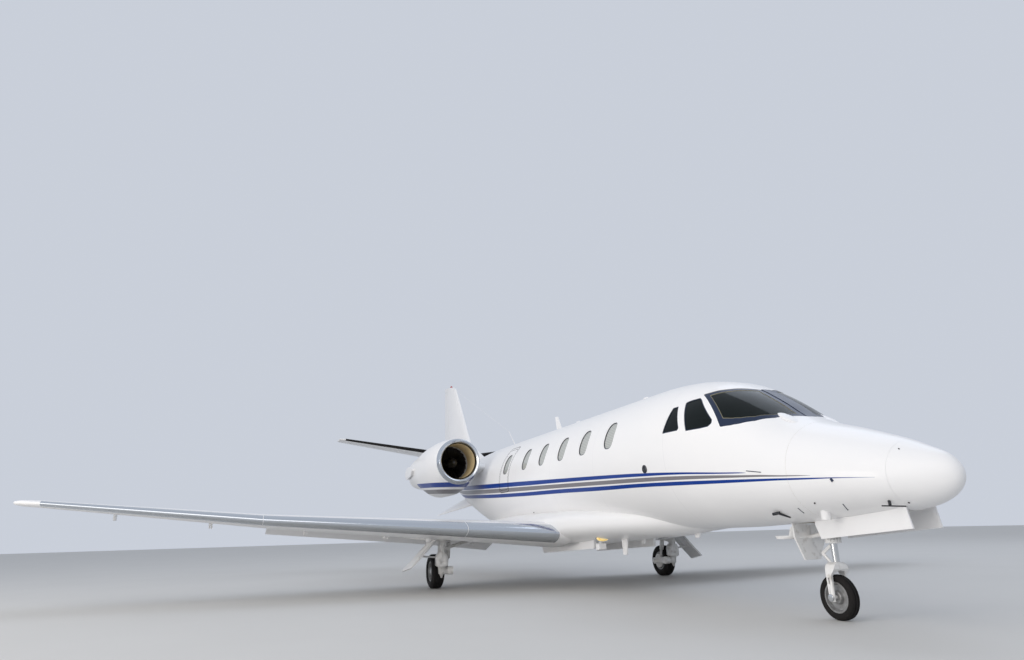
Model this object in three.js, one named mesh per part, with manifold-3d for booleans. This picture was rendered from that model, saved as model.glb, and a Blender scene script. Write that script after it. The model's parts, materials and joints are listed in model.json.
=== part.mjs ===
// A midsize business jet parked on its gear, built as an assembly of separate pieces.
// Millimetres. +X is forward, +Y is to port, +Z is up, and the origin is on the ground
// under the middle of the aircraft. A station is the distance aft of the nose tip.
import * as THREE from "three";
import { mergeVertices } from "three/addons/utils/BufferGeometryUtils.js";
import Module from "manifold-3d";

const wasm = await Module();
wasm.setup();

// Driving dimensions
const LENGTH = 16000;
const NOSE_X = LENGTH / 2;
const HALF_SPAN = 8585;
const FIN_TOP_Z = 5160;
const CABIN_Z = 1780;
const CABIN_R = 920;
const CABIN_WALL = 80;
const TAIL_WALL = 30;
const COWL_WALL = 45;
const FIT = 0.5;
const RUN = 6;
const END_GAP = 16;
const HALFWAY_FROM = 900;
const HULL_SIDES = 28;
const FOIL_SIDES = 16;
const ROUND_SIDES = 24;

// Fuselage pieces meet at these stations
const RADOME_JOINT = 420;
const NOSE_JOINT = 1300;
const PRESSURE_BULKHEAD = 9300;
const TAIL_END = 15450;
const FLOOR_Z = 1240;
const FLOOR_THICK = 40;

// Fuselage sections: [station, centre z, half width, height up, depth down, fullness]
const HULL = [
  [0, 1268, 6, 6, 6, 2],
  [30, 1268, 78, 94, 92, 2],
  [110, 1268, 154, 174, 168, 2],
  [260, 1270, 264, 248, 238, 2],
  [520, 1284, 402, 348, 304, 2],
  [900, 1330, 520, 434, 385, 2.05],
  [1450, 1400, 660, 545, 490, 2.15],
  [1800, 1500, 740, 680, 600, 2.25],
  [2150, 1600, 800, 790, 705, 2.3],
  [2500, 1680, 850, 860, 800, 2.3],
  [3000, 1745, 895, 900, 872, 2.2],
  [3600, 1775, 915, 918, 912, 2.05],
  [4200, CABIN_Z, CABIN_R, CABIN_R, CABIN_R, 2],
  [9300, CABIN_Z, CABIN_R, CABIN_R, CABIN_R, 2],
  [10300, 1830, 882, 866, 852, 2],
  [11500, 1960, 760, 690, 700, 2],
  [12700, 2100, 580, 480, 490, 2],
  [13900, 2235, 380, 275, 275, 2],
  [15000, 2355, 180, 115, 115, 2],
  [TAIL_END, 2390, 70, 60, 60, 2],
];

// Belly fairing sections: [station, centre z, half width, height up, depth down, fullness]
const FAIRING = [
  [3350, 1010, 250, 120, 150, 2],
  [3900, 1010, 520, 150, 214, 2.3],
  [5000, 1010, 800, 190, 262, 2.6],
  [6100, 1010, 985, 215, 320, 2.8],
  [7750, 1010, 1010, 215, 400, 2.8],
  [8800, 1010, 960, 200, 375, 2.7],
  [9700, 1030, 720, 170, 275, 2.4],
  [10600, 1090, 300, 110, 110, 2],
];

// Wing sections: [half span place, leading edge station, chord, z, thickness over chord]
const WING = [
  [720, 5870, 3130, 839, 0.13],
  [2300, 6200, 2620, 950, 0.122],
  [5160, 6811, 1848, 1150, 0.111],
  [8150, 7450, 1040, 1452, 0.1],
  [8420, 7590, 880, 1474, 0.1],
  [8550, 7830, 600, 1485, 0.1],
  [HALF_SPAN, 8030, 380, 1489, 0.09],
];

// Fin sections: [z, leading edge station, chord, thickness over chord]
const FIN = [
  [2300, 10900, 4700, 0.05],
  [2720, 12350, 3520, 0.066],
  [3150, 13390, 2560, 0.09],
  [4150, 14160, 1820, 0.1],
  [FIN_TOP_Z, 14980, LENGTH - 14980, 0.1],
];

// The fin's top edge from front to rear, by station and height, and the beacon that stands on it
const FIN_CROWN = [[14700, 4850], [14800, 4920], [15045, 5022], [15430, 5074], [16010, 5161]];
const BEACON = { station: 15270, foot: 4980, top: 5115, radius: 38 };

// Tailplane sections: [half span place, leading edge station, chord, z, thickness over chord]
const TAILPLANE = [
  [60, 13750, 1560, 2868, 0.1],
  [3140, 14440, 760, 3356, 0.09],
  [3275, 14560, 560, 3376, 0.08],
];

// Strake sections: [half span place, leading edge station, chord, z, thickness over chord]
const STRAKE = [
  [20, 8820, 4540, 1822, 0.011],
  [800, 13580, 205, 1350, 0.08],
];

// Nacelle sections: [station, centre z, half width, height up, depth down, fullness]
const ENGINE_Y = 1510;
const ENGINE_Z = 2300;
const NACELLE = [
  [9320, ENGINE_Z, 405, 405, 405, 2],
  [9350, ENGINE_Z, 432, 432, 434, 2],
  [9600, ENGINE_Z, 478, 470, 520, 2],
  [10200, ENGINE_Z, 515, 495, 650, 2],
  [10800, ENGINE_Z - 5, 512, 480, 645, 2],
  [11450, ENGINE_Z - 20, 478, 435, 495, 2],
  [12150, ENGINE_Z - 20, 408, 390, 395, 2],
  [12600, ENGINE_Z - 15, 352, 348, 352, 2],
];
const REVERSER_FRONT = 11450;
const REVERSER_REAR = 12600;
const REVERSER_PIVOT = 12150;
const REVERSER_SWING = 32;
const PIVOT_FAIRING_OUT = 62;

// Cabin windows by station of their centres, the same on both sides
const CABIN_WINDOWS = [4290, 5070, 5845, 6620, 7395];
const WINDOW_Z = 2127;
const WINDOW_HALF_WIDE = 132;
const WINDOW_HALF_HIGH = 182;
const WINDOW_FULLNESS = 2.8;
const WINDOW_SIDES = 14;
const HATCH = { from: 8140, to: 8655, low: 1610, high: 2460, window: 8365 };

// Doors, by station and height
const ENTRY = { from: 3290, to: 3970, low: 1100, high: 2420 };
const BAGGAGE = { from: 10000, to: 10740, low: 1290, high: 1850 };

// Windshield and cockpit side glass outlines
const WINDSHIELD = [
  [1500, 48], [2110, 44], [2170, 160], [2293, 358], [2430, 508], [2507, 570],
  [2071, 730], [1956, 688], [1855, 638], [1727, 547], [1607, 388], [1545, 230],
];
const SIDE_GLASS_FRONT = [
  [2690, 2300], [2640, 2316], [2508, 2329], [2462, 2298], [2198, 2024],
  [2192, 1985], [2230, 1952], [2337, 1945], [2560, 1947],
];
const SIDE_GLASS_REAR = [
  [2790, 2276], [2880, 2268], [2905, 2190], [2975, 1972], [2700, 1972], [2682, 2000],
];
// How deep the cockpit panes' outer and inner faces lie under the skin
const PANE_DEPTH = { outer: 8, inner: 22 };

// Landing gear
const NOSE_WHEEL = { station: 1500, radius: 209, width: 106, rim: 145 };
const NOSE_STRUT = 1470;
const NOSE_COLLAR_Z = 712;
const NOSE_AFT_DOOR = 1765;
const MAIN_WHEEL = { station: 8155, y: 2305, radius: 280, width: 215, rim: 165 };
const MAIN_LEG = { station: 7790, y: 2290, pivotZ: 300 };
const MAIN_LINK_Y = { from: 2101, to: 2190 };
const NOSE_BAY = { from: 480, to: 1750, half: 150, top: 1200 };
const NOSE_TRUNNION = NOSE_BAY.half - 4;
const MAIN_BAY = { from: 7690, to: 7990, inner: 1150, outer: 2410, top: 925 };

// Trailing surfaces: span or height they cover, share of the chord at their hinge, and gap
const FLAP = { inner: 1080, outer: 5120, share: 0.79, gap: 14 };
const FLAP_HINGE_BELOW = 20;
const FLAP_LOWERED = 27;
const AILERON = { inner: 5200, outer: 7920, share: 0.78, gap: 22 };
const ELEVATOR = { inner: 290, outer: 3080, share: 0.66, gap: 24 };
const RUDDER = { low: 3010, high: 5010, share: 0.7, gap: 34 };

// Hinge brackets under the wing, by their place along the half span
const FLAP_BRACKETS = [1560, 3120, 4470];
const AILERON_BRACKETS = [5940, 7300];
const BRACKET = { half: 11, deep: 115, beside: 36 };

// Blade aerials: [station at the root's front, y, root z, tip z, root chord, tip chord, lean aft]
const CROWN_BLADES = [
  [7610, 0, 2640, 2990, 230, 110, 190],
  [6860, 0, 2660, 2765, 170, 110, 30],
  [4560, 0, 2660, 2765, 170, 110, 30],
];
const BELLY_BLADES = [
  [4950, -300, 800, 540, 180, 100, 50],
  [4960, 0, 780, 680, 150, 90, 40],
  [3620, 0, 860, 765, 140, 80, 40],
];
const WHIP = { from: [10060, 0, 2700], to: [10480, 0, 3080], radius: 9 };

// Turns a geometry into a solid, right side out
function solid(geometry) {
  const bare = new THREE.BufferGeometry();
  bare.setAttribute("position", geometry.getAttribute("position"));
  if (geometry.index) {
    bare.setIndex(geometry.index);
  }
  const merged = mergeVertices(bare, 1e-3);
  const corners = merged.index.array;
  const faces = [];
  for (let i = 0; i < corners.length; i += 3) {
    const [a, b, c] = [corners[i], corners[i + 1], corners[i + 2]];
    if (a !== b && b !== c && a !== c) {
      faces.push(a, b, c);
    }
  }
  const make = (list) =>
    new wasm.Manifold(
      new wasm.Mesh({
        numProp: 3,
        vertProperties: Float32Array.from(merged.attributes.position.array),
        triVerts: Uint32Array.from(list),
      }),
    );
  const made = make(faces);
  return made.volume() < 0 ? make(faces.reverse()) : made;
}

// Turns a solid back into a geometry for a mesh
function geometryOf(body) {
  const mesh = body.getMesh();
  const points = new Float32Array(mesh.numVert * 3);
  for (let i = 0; i < mesh.numVert; i += 1) {
    const start = i * mesh.numProp;
    points.set(mesh.vertProperties.subarray(start, start + 3), i * 3);
  }
  const geometry = new THREE.BufferGeometry();
  geometry.setAttribute("position", new THREE.BufferAttribute(points, 3));
  geometry.setIndex(new THREE.BufferAttribute(mesh.triVerts, 1));
  geometry.computeVertexNormals();
  return geometry;
}

function join(...bodies) {
  return bodies.reduce((whole, body) => whole.add(body));
}

function mirrored(body) {
  return solid(geometryOf(body).scale(1, -1, 1));
}

// The x of a station
function at(station) {
  return NOSE_X - station;
}

// A cylinder's rows moved onto a table's rows, each ring shaped by place(row, turn)
function loft(rows, sides, place) {
  const geometry = new THREE.CylinderGeometry(1, 1, 1, sides, rows.length - 1);
  const points = geometry.getAttribute("position");
  const centres = rows.map((row) => {
    const centre = new THREE.Vector3();
    for (let i = 0; i < sides; i += 1) {
      centre.add(place(row, (i / sides) * 2 * Math.PI));
    }
    return centre.divideScalar(sides);
  });
  for (let i = 0; i < points.count; i += 1) {
    const [px, py, pz] = [points.getX(i), points.getY(i), points.getZ(i)];
    const index = Math.round((0.5 - py) * (rows.length - 1));
    const onAxis = Math.hypot(px, pz) < 0.5;
    const point = onAxis ? centres[index] : place(rows[index], Math.atan2(px, pz));
    points.setXYZ(i, point.x, point.y, point.z);
  }
  return solid(geometry);
}

// A row of a table at any station, on smooth curves through the rows
function rowAt(table, station) {
  const last = table.length - 1;
  let i = 0;
  while (i < last - 1 && table[i + 1][0] < station) {
    i += 1;
  }
  const span = table[i + 1][0] - table[i][0];
  const t = THREE.MathUtils.clamp((station - table[i][0]) / span, 0, 1);
  return table[i].map((_, column) => {
    const slope = (k) => {
      if (k <= 0 || k >= last) {
        return k <= 0 ? rise(1) : rise(last);
      }
      const [before, after] = [rise(k), rise(k + 1)];
      return before * after <= 0 ? 0 : (2 * before * after) / (before + after);
    };
    const rise = (k) =>
      (table[k][column] - table[k - 1][column]) / (table[k][0] - table[k - 1][0]);
    const [a, b] = [table[i][column], table[i + 1][column]];
    const [da, db] = [slope(i) * span, slope(i + 1) * span];
    const t2 = t * t;
    const t3 = t2 * t;
    return a * (2 * t3 - 3 * t2 + 1) + b * (3 * t2 - 2 * t3) + da * (t3 - 2 * t2 + t) + db * (t3 - t2);
  });
}

// A table with extra rows halfway between its own, except where the body is level
function refined(table) {
  return table.flatMap((row, i) => {
    const next = table[i + 1];
    const short = !next || next[0] - row[0] < HALFWAY_FROM || row[2] === next[2];
    return short ? [row] : [row, rowAt(table, (row[0] + next[0]) / 2)];
  });
}

// A row at any place, on the straight facets between a table's rows
function rowOn(rows, place) {
  const i = Math.max(1, rows.findIndex((row) => row[0] >= place));
  const share = (place - rows[i - 1][0]) / (rows[i][0] - rows[i - 1][0]);
  return rows[i].map((v, k) => THREE.MathUtils.lerp(rows[i - 1][k], v, share));
}

// The rows between two stations. The end rows lie on the facets of the whole body, so that
// pieces cut from one body at different stations share its facets
function rowsBetween(rows, from, to) {
  const inner = rows.filter((row) => row[0] > from + 1 && row[0] < to - 1);
  return [rowOn(rows, from), ...inner, rowOn(rows, to)];
}

// A round-sided body lofted through a table of sections, grown by a distance
function bodyLoft(table, from, to, grow = 0, y = 0) {
  const place = ([station, z, wide, up, down, full], turn) => {
    const power = (value, size) =>
      Math.sign(value) * Math.pow(Math.abs(value), 2 / full) * Math.max(size + grow, 1);
    const tall = Math.sin(turn) > 0 ? up : down;
    return new THREE.Vector3(
      at(station),
      y + power(Math.cos(turn), wide),
      z + power(Math.sin(turn), tall),
    );
  };
  return loft(rowsBetween(refined(table), from, to), HULL_SIDES, place);
}

function hull(from, to, grow = 0) {
  return bodyLoft(HULL, from, to, grow);
}

// Half thickness of a symmetric aerofoil, as a share of its greatest thickness
function foilHalf(f) {
  return 5 * (0.2969 * Math.sqrt(f) - 0.126 * f - 0.3516 * f ** 2 + 0.2843 * f ** 3 - 0.1026 * f ** 4);
}

// Which side of the chord line a turn lies on, with 0 at the leading and trailing edges
function chordSide(turn) {
  return Math.abs(Math.sin(turn)) < 1e-6 ? 0 : Math.sign(Math.sin(turn));
}

// A level surface such as a wing, from a table of its sections on the port side
function levelFoil(table, grow = 0) {
  return loft(table, FOIL_SIDES, ([y, lead, chord, z, thick], turn) => {
    const f = (1 - Math.cos(turn)) / 2;
    const half = foilHalf(f) * thick * chord + grow;
    const along = lead - grow + f * (chord + 2 * grow);
    return new THREE.Vector3(at(along), y, z + chordSide(turn) * half);
  });
}

// An upright surface such as the fin
function uprightFoil(table, grow = 0) {
  return loft(table, FOIL_SIDES, ([z, lead, chord, thick], turn) => {
    const f = (1 - Math.cos(turn)) / 2;
    const half = foilHalf(f) * thick * chord + grow;
    const along = lead - grow + f * (chord + 2 * grow);
    return new THREE.Vector3(at(along), chordSide(turn) * half, z);
  });
}

// Outlines extruded between two places. Side outlines are [station, z] and run along Y,
// plan outlines are [station, y] and run along Z, front outlines are [y, z] and run along X.
function extruded(shape, from, to, basis) {
  const geometry = new THREE.ExtrudeGeometry(shape, {
    depth: to - from,
    bevelEnabled: false,
  });
  geometry.translate(0, 0, from);
  return solid(geometry.applyMatrix4(basis));
}

const AXIS = {
  x: new THREE.Vector3(1, 0, 0),
  y: new THREE.Vector3(0, 1, 0),
  z: new THREE.Vector3(0, 0, 1),
};
const SIDE = new THREE.Matrix4().makeBasis(AXIS.x, AXIS.z, AXIS.y);
const PLAN = new THREE.Matrix4();
const FRONT = new THREE.Matrix4().makeBasis(AXIS.y, AXIS.z, AXIS.x);

function polygon(points) {
  return new THREE.Shape(points.map(([a, b]) => new THREE.Vector2(a, b)));
}

function sidePlate(outline, from, to) {
  return extruded(polygon(outline.map(([s, z]) => [at(s), z])), from, to, SIDE);
}

function planPlate(outline, from, to) {
  return extruded(polygon(outline.map(([s, y]) => [at(s), y])), from, to, PLAN);
}

function frontPlate(outline, stationFrom, stationTo) {
  return extruded(polygon(outline), at(stationTo), at(stationFrom), FRONT);
}

// An outline drawn in about its middle by a distance
function drawnIn(outline, gap) {
  const mid = [0, 1].map((k) => outline.reduce((sum, p) => sum + p[k], 0) / outline.length);
  return outline.map((p) => {
    const reach = Math.hypot(p[0] - mid[0], p[1] - mid[1]);
    return p.map((v, k) => mid[k] + (v - mid[k]) * (1 - gap / reach));
  });
}

function block(stationFrom, stationTo, yFrom, yTo, zFrom, zTo) {
  const geometry = new THREE.BoxGeometry(stationTo - stationFrom, yTo - yFrom, zTo - zFrom);
  geometry.translate(at((stationFrom + stationTo) / 2), (yFrom + yTo) / 2, (zFrom + zTo) / 2);
  return solid(geometry);
}

// A window's plug, centred on a station, from one y to another: an oval with full corners
function windowPlug(station, gap, yFrom, yTo) {
  const outline = [];
  const power = (value, size) =>
    Math.sign(value) * Math.pow(Math.abs(value), 2 / WINDOW_FULLNESS) * (size - gap);
  for (let i = 0; i < WINDOW_SIDES; i += 1) {
    const turn = (i / WINDOW_SIDES) * 2 * Math.PI;
    const along = power(Math.cos(turn), WINDOW_HALF_WIDE);
    outline.push([station + along, WINDOW_Z + power(Math.sin(turn), WINDOW_HALF_HIGH)]);
  }
  return sidePlate(outline, yFrom, yTo);
}

// A round bar between two points given as [station, y, z]
function bar(start, end, r0, r1 = r0, sides = 12) {
  const a = new THREE.Vector3(at(start[0]), start[1], start[2]);
  const b = new THREE.Vector3(at(end[0]), end[1], end[2]);
  const along = b.clone().sub(a);
  const geometry = new THREE.CylinderGeometry(r1, r0, along.length(), sides);
  geometry.applyQuaternion(
    new THREE.Quaternion().setFromUnitVectors(AXIS.y, along.clone().normalize()),
  );
  geometry.translate(...a.add(b).multiplyScalar(0.5).toArray());
  return solid(geometry);
}

// A profile of [distance along, radius] turned about the X axis at a y and z
function turnedX(profile, y, z, sides = ROUND_SIDES) {
  const points = profile.map(([s, r]) => new THREE.Vector2(r, at(s)));
  const geometry = new THREE.LatheGeometry(points, sides);
  geometry.rotateZ(-Math.PI / 2);
  geometry.translate(0, y, z);
  return solid(geometry);
}

// A profile of [distance along, radius] turned about an axle that runs along Y, with a flat and
// not a corner at the bottom
function turnedY(profile, station, y, z, sides = ROUND_SIDES) {
  const points = profile.map(([w, r]) => new THREE.Vector2(r, w));
  const geometry = new THREE.LatheGeometry(points, sides, Math.PI / sides);
  geometry.translate(at(station), y, z);
  return solid(geometry);
}

// A blade aerial that stands on the crown or hangs from the belly
function blade([front, y, rootZ, tipZ, root, tip, lean]) {
  const tipFront = front + lean;
  const outline = [[front, rootZ], [front + root, rootZ], [tipFront + tip, tipZ], [tipFront, tipZ]];
  return sidePlate(outline, y - 9, y + 9);
}

// Fuselage

function entryOpening(gap) {
  const { from, to, low, high } = ENTRY;
  return block(from + gap, to - gap, 300, 1200, low + gap, high - gap);
}

function baggageOpening(gap) {
  const { from, to, low, high } = BAGGAGE;
  return block(from + gap, to - gap, 300, 1200, low + gap, high - gap);
}

function hatchOpening(gap) {
  const { from, to, low, high } = HATCH;
  return block(from + gap, to - gap, -1200, -300, low + gap, high - gap);
}

function noseBay() {
  const { from, to, half, top } = NOSE_BAY;
  return block(from, to, -half, half, 600, top);
}

function glassHoles(side, gap) {
  const windshield = planPlate(
    drawnIn(WINDSHIELD, gap).map(([s, y]) => [s, side * y]),
    1890,
    2640,
  );
  const [near, far] = side > 0 ? [450, 1100] : [-1100, -450];
  const front = sidePlate(drawnIn(SIDE_GLASS_FRONT, gap), near, far);
  const rear = sidePlate(drawnIn(SIDE_GLASS_REAR, gap), near, far);
  return { windshield, front, rear };
}

function radome() {
  return hull(0, RADOME_JOINT - FIT);
}

function noseSection() {
  const jackPad = bar([1180, -330, 930], [1180, -330, 1100], 45);
  return join(hull(RADOME_JOINT, NOSE_JOINT - FIT), jackPad).subtract(noseBay());
}

function fuselageShell() {
  const bulkhead = 80;
  const cavity = hull(NOSE_JOINT + bulkhead, PRESSURE_BULKHEAD - bulkhead, -CABIN_WALL);
  const footwell = block(NOSE_JOINT, 1800, -CABIN_R, CABIN_R, 0, 1290);
  let shell = hull(NOSE_JOINT, PRESSURE_BULKHEAD - FIT).subtract(cavity.subtract(footwell));
  shell = shell.subtract(noseBay()).subtract(entryOpening(0)).subtract(hatchOpening(0));
  for (const side of [1, -1]) {
    const { windshield, front, rear } = glassHoles(side, 0);
    shell = shell.subtract(windshield).subtract(front).subtract(rear);
    const [near, far] = side > 0 ? [500, 1100] : [-1100, -500];
    for (const station of CABIN_WINDOWS) {
      shell = shell.subtract(windowPlug(station, 0, near, far));
    }
  }
  return join(shell.subtract(windowPlug(HATCH.window, 0, 500, 1100)), ...CROWN_BLADES.map(blade));
}

function tailcone() {
  const cavity = hull(PRESSURE_BULKHEAD + 40, 14700, -TAIL_WALL);
  const whip = bar(WHIP.from, WHIP.to, WHIP.radius, WHIP.radius, 6);
  const body = hull(PRESSURE_BULKHEAD, TAIL_END).subtract(cavity).subtract(baggageOpening(0));
  return join(body, whip);
}

function bellyFairing() {
  const [first, last] = [FAIRING[0][0], FAIRING[FAIRING.length - 1][0]];
  const wing = levelFoil(WING, FIT * 3);
  const rail = [[5560, 760], [5560, 625], [7470, 530], [7540, 625], [7400, 760]];
  const rails = [500, -540].map((y) => sidePlate(rail, y, y + 40));
  const lampBox = block(5290, 5420, -560, -420, 640, 820);
  return join(bodyLoft(FAIRING, first, last), ...rails, lampBox, ...BELLY_BLADES.map(blade))
    .subtract(hull(NOSE_JOINT, TAIL_END, FIT))
    .subtract(wing)
    .subtract(mirrored(wing));
}

// A layer of the hull between two depths under its skin
function hullLayer(outer, inner, from, to) {
  return hull(from, to, -outer).subtract(hull(from - 20, to + 20, -inner));
}

function windshield(side) {
  const { outer, inner } = PANE_DEPTH;
  return hullLayer(outer, inner, 1310, 2900).intersect(glassHoles(side, 3).windshield);
}

// Both side panes of the cockpit. Their feet go through the wall to the frame strip that holds
// them from inside
function sideGlass(side) {
  const { front, rear } = glassHoles(side, 4);
  const { outer, inner } = PANE_DEPTH;
  const [near, far] = side > 0 ? [300, 1100] : [-1100, -300];
  const foot = hullLayer(outer, CABIN_WALL + 24, 2000, 3200).intersect(
    block(2300, 3000, near, far, 1940, 2000),
  );
  const layer = join(hullLayer(outer, inner, 2000, 3200), foot);
  const panes = layer.intersect(join(front, rear));
  const frame = hullLayer(CABIN_WALL + 2, CABIN_WALL + 24, 2000, 3200).intersect(
    sidePlate([[2280, 1950], [2990, 1950], [2900, 2060], [2400, 2060]], near, far),
  );
  return join(panes, frame);
}

// The cabin's inner wall panel on one side, with its window panes in the shell's holes
function cabinWindows(side) {
  const [near, far] = side > 0 ? [400, 1200] : [-1200, -400];
  const stations = [...CABIN_WINDOWS, HATCH.window];
  const last = stations[stations.length - 1];
  const panel = hullLayer(CABIN_WALL + 3, CABIN_WALL + 28, 4000, 8700).intersect(
    block(4100, last + 220, near, far, 1890, 2380),
  );
  const panes = hullLayer(10, CABIN_WALL + 28, 4000, 8700);
  return stations.reduce(
    (body, station) => body.add(panes.intersect(windowPlug(station, 3, near, far))),
    panel,
  );
}

function exitHatch() {
  const leaf = hullLayer(0, CABIN_WALL, 7900, 8800).intersect(hatchOpening(3));
  return leaf.subtract(windowPlug(HATCH.window, 0, -1100, -500));
}

function entryDoor() {
  const skin = hullLayer(0, CABIN_WALL, 3100, 4200).intersect(entryOpening(RUN));
  const [first, last] = [ENTRY.from + 90, ENTRY.to - 90];
  const inner = CABIN_R - CABIN_WALL;
  const tread = THREE.MathUtils.degToRad(125);
  const along = [Math.cos(tread), Math.sin(tread)];
  const across = [-along[1] * 26, along[0] * 26];
  const treads = [1400, 1780, 2120].map((z) => {
    const foot = [Math.sqrt(inner ** 2 - (z - CABIN_Z) ** 2) + 22, z - 20];
    const tip = [foot[0] + along[0] * 240, foot[1] + along[1] * 240];
    const outline = [foot, tip, [tip[0] + across[0], tip[1] + across[1]]];
    return frontPlate([...outline, [foot[0] + across[0], foot[1] + across[1]]], first, last);
  });
  return join(skin, ...treads);
}

function baggageDoor() {
  return hullLayer(0, TAIL_WALL, 9800, 11000).intersect(baggageOpening(RUN));
}

// Cabin and cockpit inside

function cabinFloor() {
  const slab = block(1830, 9180, -900, 900, FLOOR_Z - FLOOR_THICK, FLOOR_Z);
  const doorway = block(ENTRY.from - 40, ENTRY.to + 40, 470, 900, 1000, 1400);
  return slab.intersect(hull(NOSE_JOINT, PRESSURE_BULKHEAD, -CABIN_WALL - 3)).subtract(doorway);
}

function instrumentPanel() {
  const outline = [[1640, 1430], [1560, 1780], [1640, 1880], [1990, 1850], [1990, 1800]];
  const panel = sidePlate([...outline, [1860, 1740], [1860, 1430]], -560, 560);
  const pedestal = block(1840, 2250, -110, 110, FLOOR_Z + 3, 1560);
  return join(panel, pedestal).intersect(hull(NOSE_JOINT, 4000, -CABIN_WALL - 3));
}

function cockpitSeat(side) {
  const [near, far] = [side * 350 - 220, side * 350 + 220];
  const base = block(2500, 2860, near + 90, far - 90, FLOOR_Z + 1, 1480);
  const cushion = block(2420, 2900, near, far, 1460, 1580);
  const outline = [[2830, 1540], [2940, 1540], [3080, 2110], [3090, 2210], [3010, 2210], [2990, 2130]];
  const back = sidePlate(outline, near, far);
  return join(base, cushion, back);
}

// Wings

// A plan cutter for a trailing surface: everything aft of its hinge line
function trailingCut(yFrom, yTo, leadFrom, leadTo) {
  const aft = 1500;
  const outline = [[leadFrom, yFrom], [leadTo, yTo], [leadTo + aft, yTo], [leadFrom + aft, yFrom]];
  return planPlate(outline, 0, 4000);
}

// Station of a share of the chord at a place along the half span
function chordStation(table, y, share) {
  const [, lead, chord] = rowOn(table, y);
  return lead + share * chord;
}

function wingSurface({ inner, outer, share, gap }, grow) {
  const reach = (y) => chordStation(WING, y, share) + gap * (1 - grow);
  const edge = END_GAP * (1 - grow);
  return trailingCut(inner + edge, outer - edge, reach(inner), reach(outer));
}

// A plate under the wing beside a hinge line: its outline is in [aft of the hinge line, below the
// wing's underside] there, and its root is sunk in the surface that carries it
function bracketPlate(y, { inner, outer, share }, outline, aside) {
  const ends = [inner, outer].map((end) => chordStation(WING, end, share));
  const hinge = THREE.MathUtils.mapLinear(y + aside, inner, outer, ...ends);
  const [, lead, chord, z, thick] = rowOn(WING, y);
  const under = z - foilHalf((hinge - lead) / chord) * thick * chord;
  const placed = outline.map(([aft, below]) => [hinge + aft, under - below]);
  return sidePlate(placed, y + aside - BRACKET.half, y + aside + BRACKET.half);
}

function wingBrackets() {
  const { deep } = BRACKET;
  const outline = [[-230, -20], [-170, deep * 0.5], [-60, deep], [-10, deep], [-10, -20]];
  const rows = [[FLAP_BRACKETS, FLAP], [AILERON_BRACKETS, AILERON]];
  return rows.flatMap(([places, surface]) => places.map((y) => bracketPlate(y, surface, outline, 0)));
}

// The arms that carry a trailing surface, each beside its bracket
function surfaceArms(places, surface) {
  const { deep, beside } = BRACKET;
  const front = surface.gap + 10;
  const outline = [[front, -8], [front, deep * 0.8], [front + 40, deep], [front + 160, 12], [front + 160, -4]];
  return places.map((y) => bracketPlate(y, surface, outline, beside));
}

function wing() {
  const bay = block(MAIN_BAY.from, MAIN_BAY.to, MAIN_BAY.inner, MAIN_BAY.outer, 300, MAIN_BAY.top);
  const wheelBay = bar([8000, 1450, 300], [8000, 1450, MAIN_BAY.top], 310, 310, 24);
  const jackPad = bar([7250, 2650, 777], [7250, 2650, 960], 45);
  const box = levelFoil(WING)
    .subtract(wingSurface(FLAP, 1))
    .subtract(wingSurface(AILERON, 1))
    .subtract(bay)
    .subtract(wheelBay.subtract(wingSurface({ ...FLAP, gap: -40 }, 1)));
  return join(box, jackPad, ...wingBrackets());
}

// A point of the flap's hinge line, which runs below the wing's underside at the flap's nose
function flapHinge(y) {
  const [, lead, chord, z, thick] = rowOn(WING, y);
  const under = z - foilHalf(FLAP.share) * thick * chord - FLAP_HINGE_BELOW;
  return new THREE.Vector3(at(lead + FLAP.share * chord + FLAP.gap), y, under);
}

// The flap as it hangs on the parked jet, part of the way down about its hinge line
function flap() {
  const surface = levelFoil(WING).intersect(wingSurface(FLAP, 0));
  const raised = geometryOf(join(surface, ...surfaceArms(FLAP_BRACKETS, FLAP)));
  const [inner, outer] = [flapHinge(FLAP.inner), flapHinge(FLAP.outer)];
  const along = outer.clone().sub(inner).normalize();
  const turn = new THREE.Matrix4().makeRotationAxis(along, -THREE.MathUtils.degToRad(FLAP_LOWERED));
  raised.translate(-inner.x, -inner.y, -inner.z).applyMatrix4(turn);
  return solid(raised.translate(inner.x, inner.y, inner.z));
}

function aileron() {
  const surface = levelFoil(WING).intersect(wingSurface(AILERON, 0));
  return join(surface, ...surfaceArms(AILERON_BRACKETS, AILERON));
}

// Tail

function rudderCut(grow) {
  const { low, high, share, gap } = RUDDER;
  const edge = END_GAP * (1 - grow);
  const lead = (z) => chordStation(FIN, z, share) + gap * (1 - grow);
  const outline = [[lead(low), low + edge], [lead(high), high - edge]];
  return sidePlate([...outline, [17500, high - edge], [17500, low + edge]], -400, 400);
}

function fin() {
  const { station, foot, top, radius } = BEACON;
  const beacon = bar([station, 0, foot], [station, 0, top], radius);
  const hollow = [...FIN.slice(0, -1), rowOn(FIN, FIN_TOP_Z - 330)].map(
    ([z, lead, chord, thick]) => [z, lead + 0.05 * chord, 0.6 * chord, 1.36 * thick],
  );
  const above = FIN_TOP_Z + 100;
  const crown = sidePlate([...FIN_CROWN, [16010, above], [14700, above]], -200, 200);
  return join(uprightFoil(FIN).subtract(crown), beacon)
    .subtract(uprightFoil(hollow))
    .subtract(hull(PRESSURE_BULKHEAD, TAIL_END, FIT))
    .subtract(rudderCut(1));
}

function rudder() {
  return uprightFoil(FIN).intersect(rudderCut(0));
}

function elevatorCut(grow) {
  const { inner, outer, share, gap } = ELEVATOR;
  const lead = (y) => chordStation(TAILPLANE, y, share) + gap * (1 - grow);
  const edge = END_GAP * (1 - grow);
  return trailingCut(inner + edge, outer - edge, lead(inner), lead(outer));
}

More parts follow.
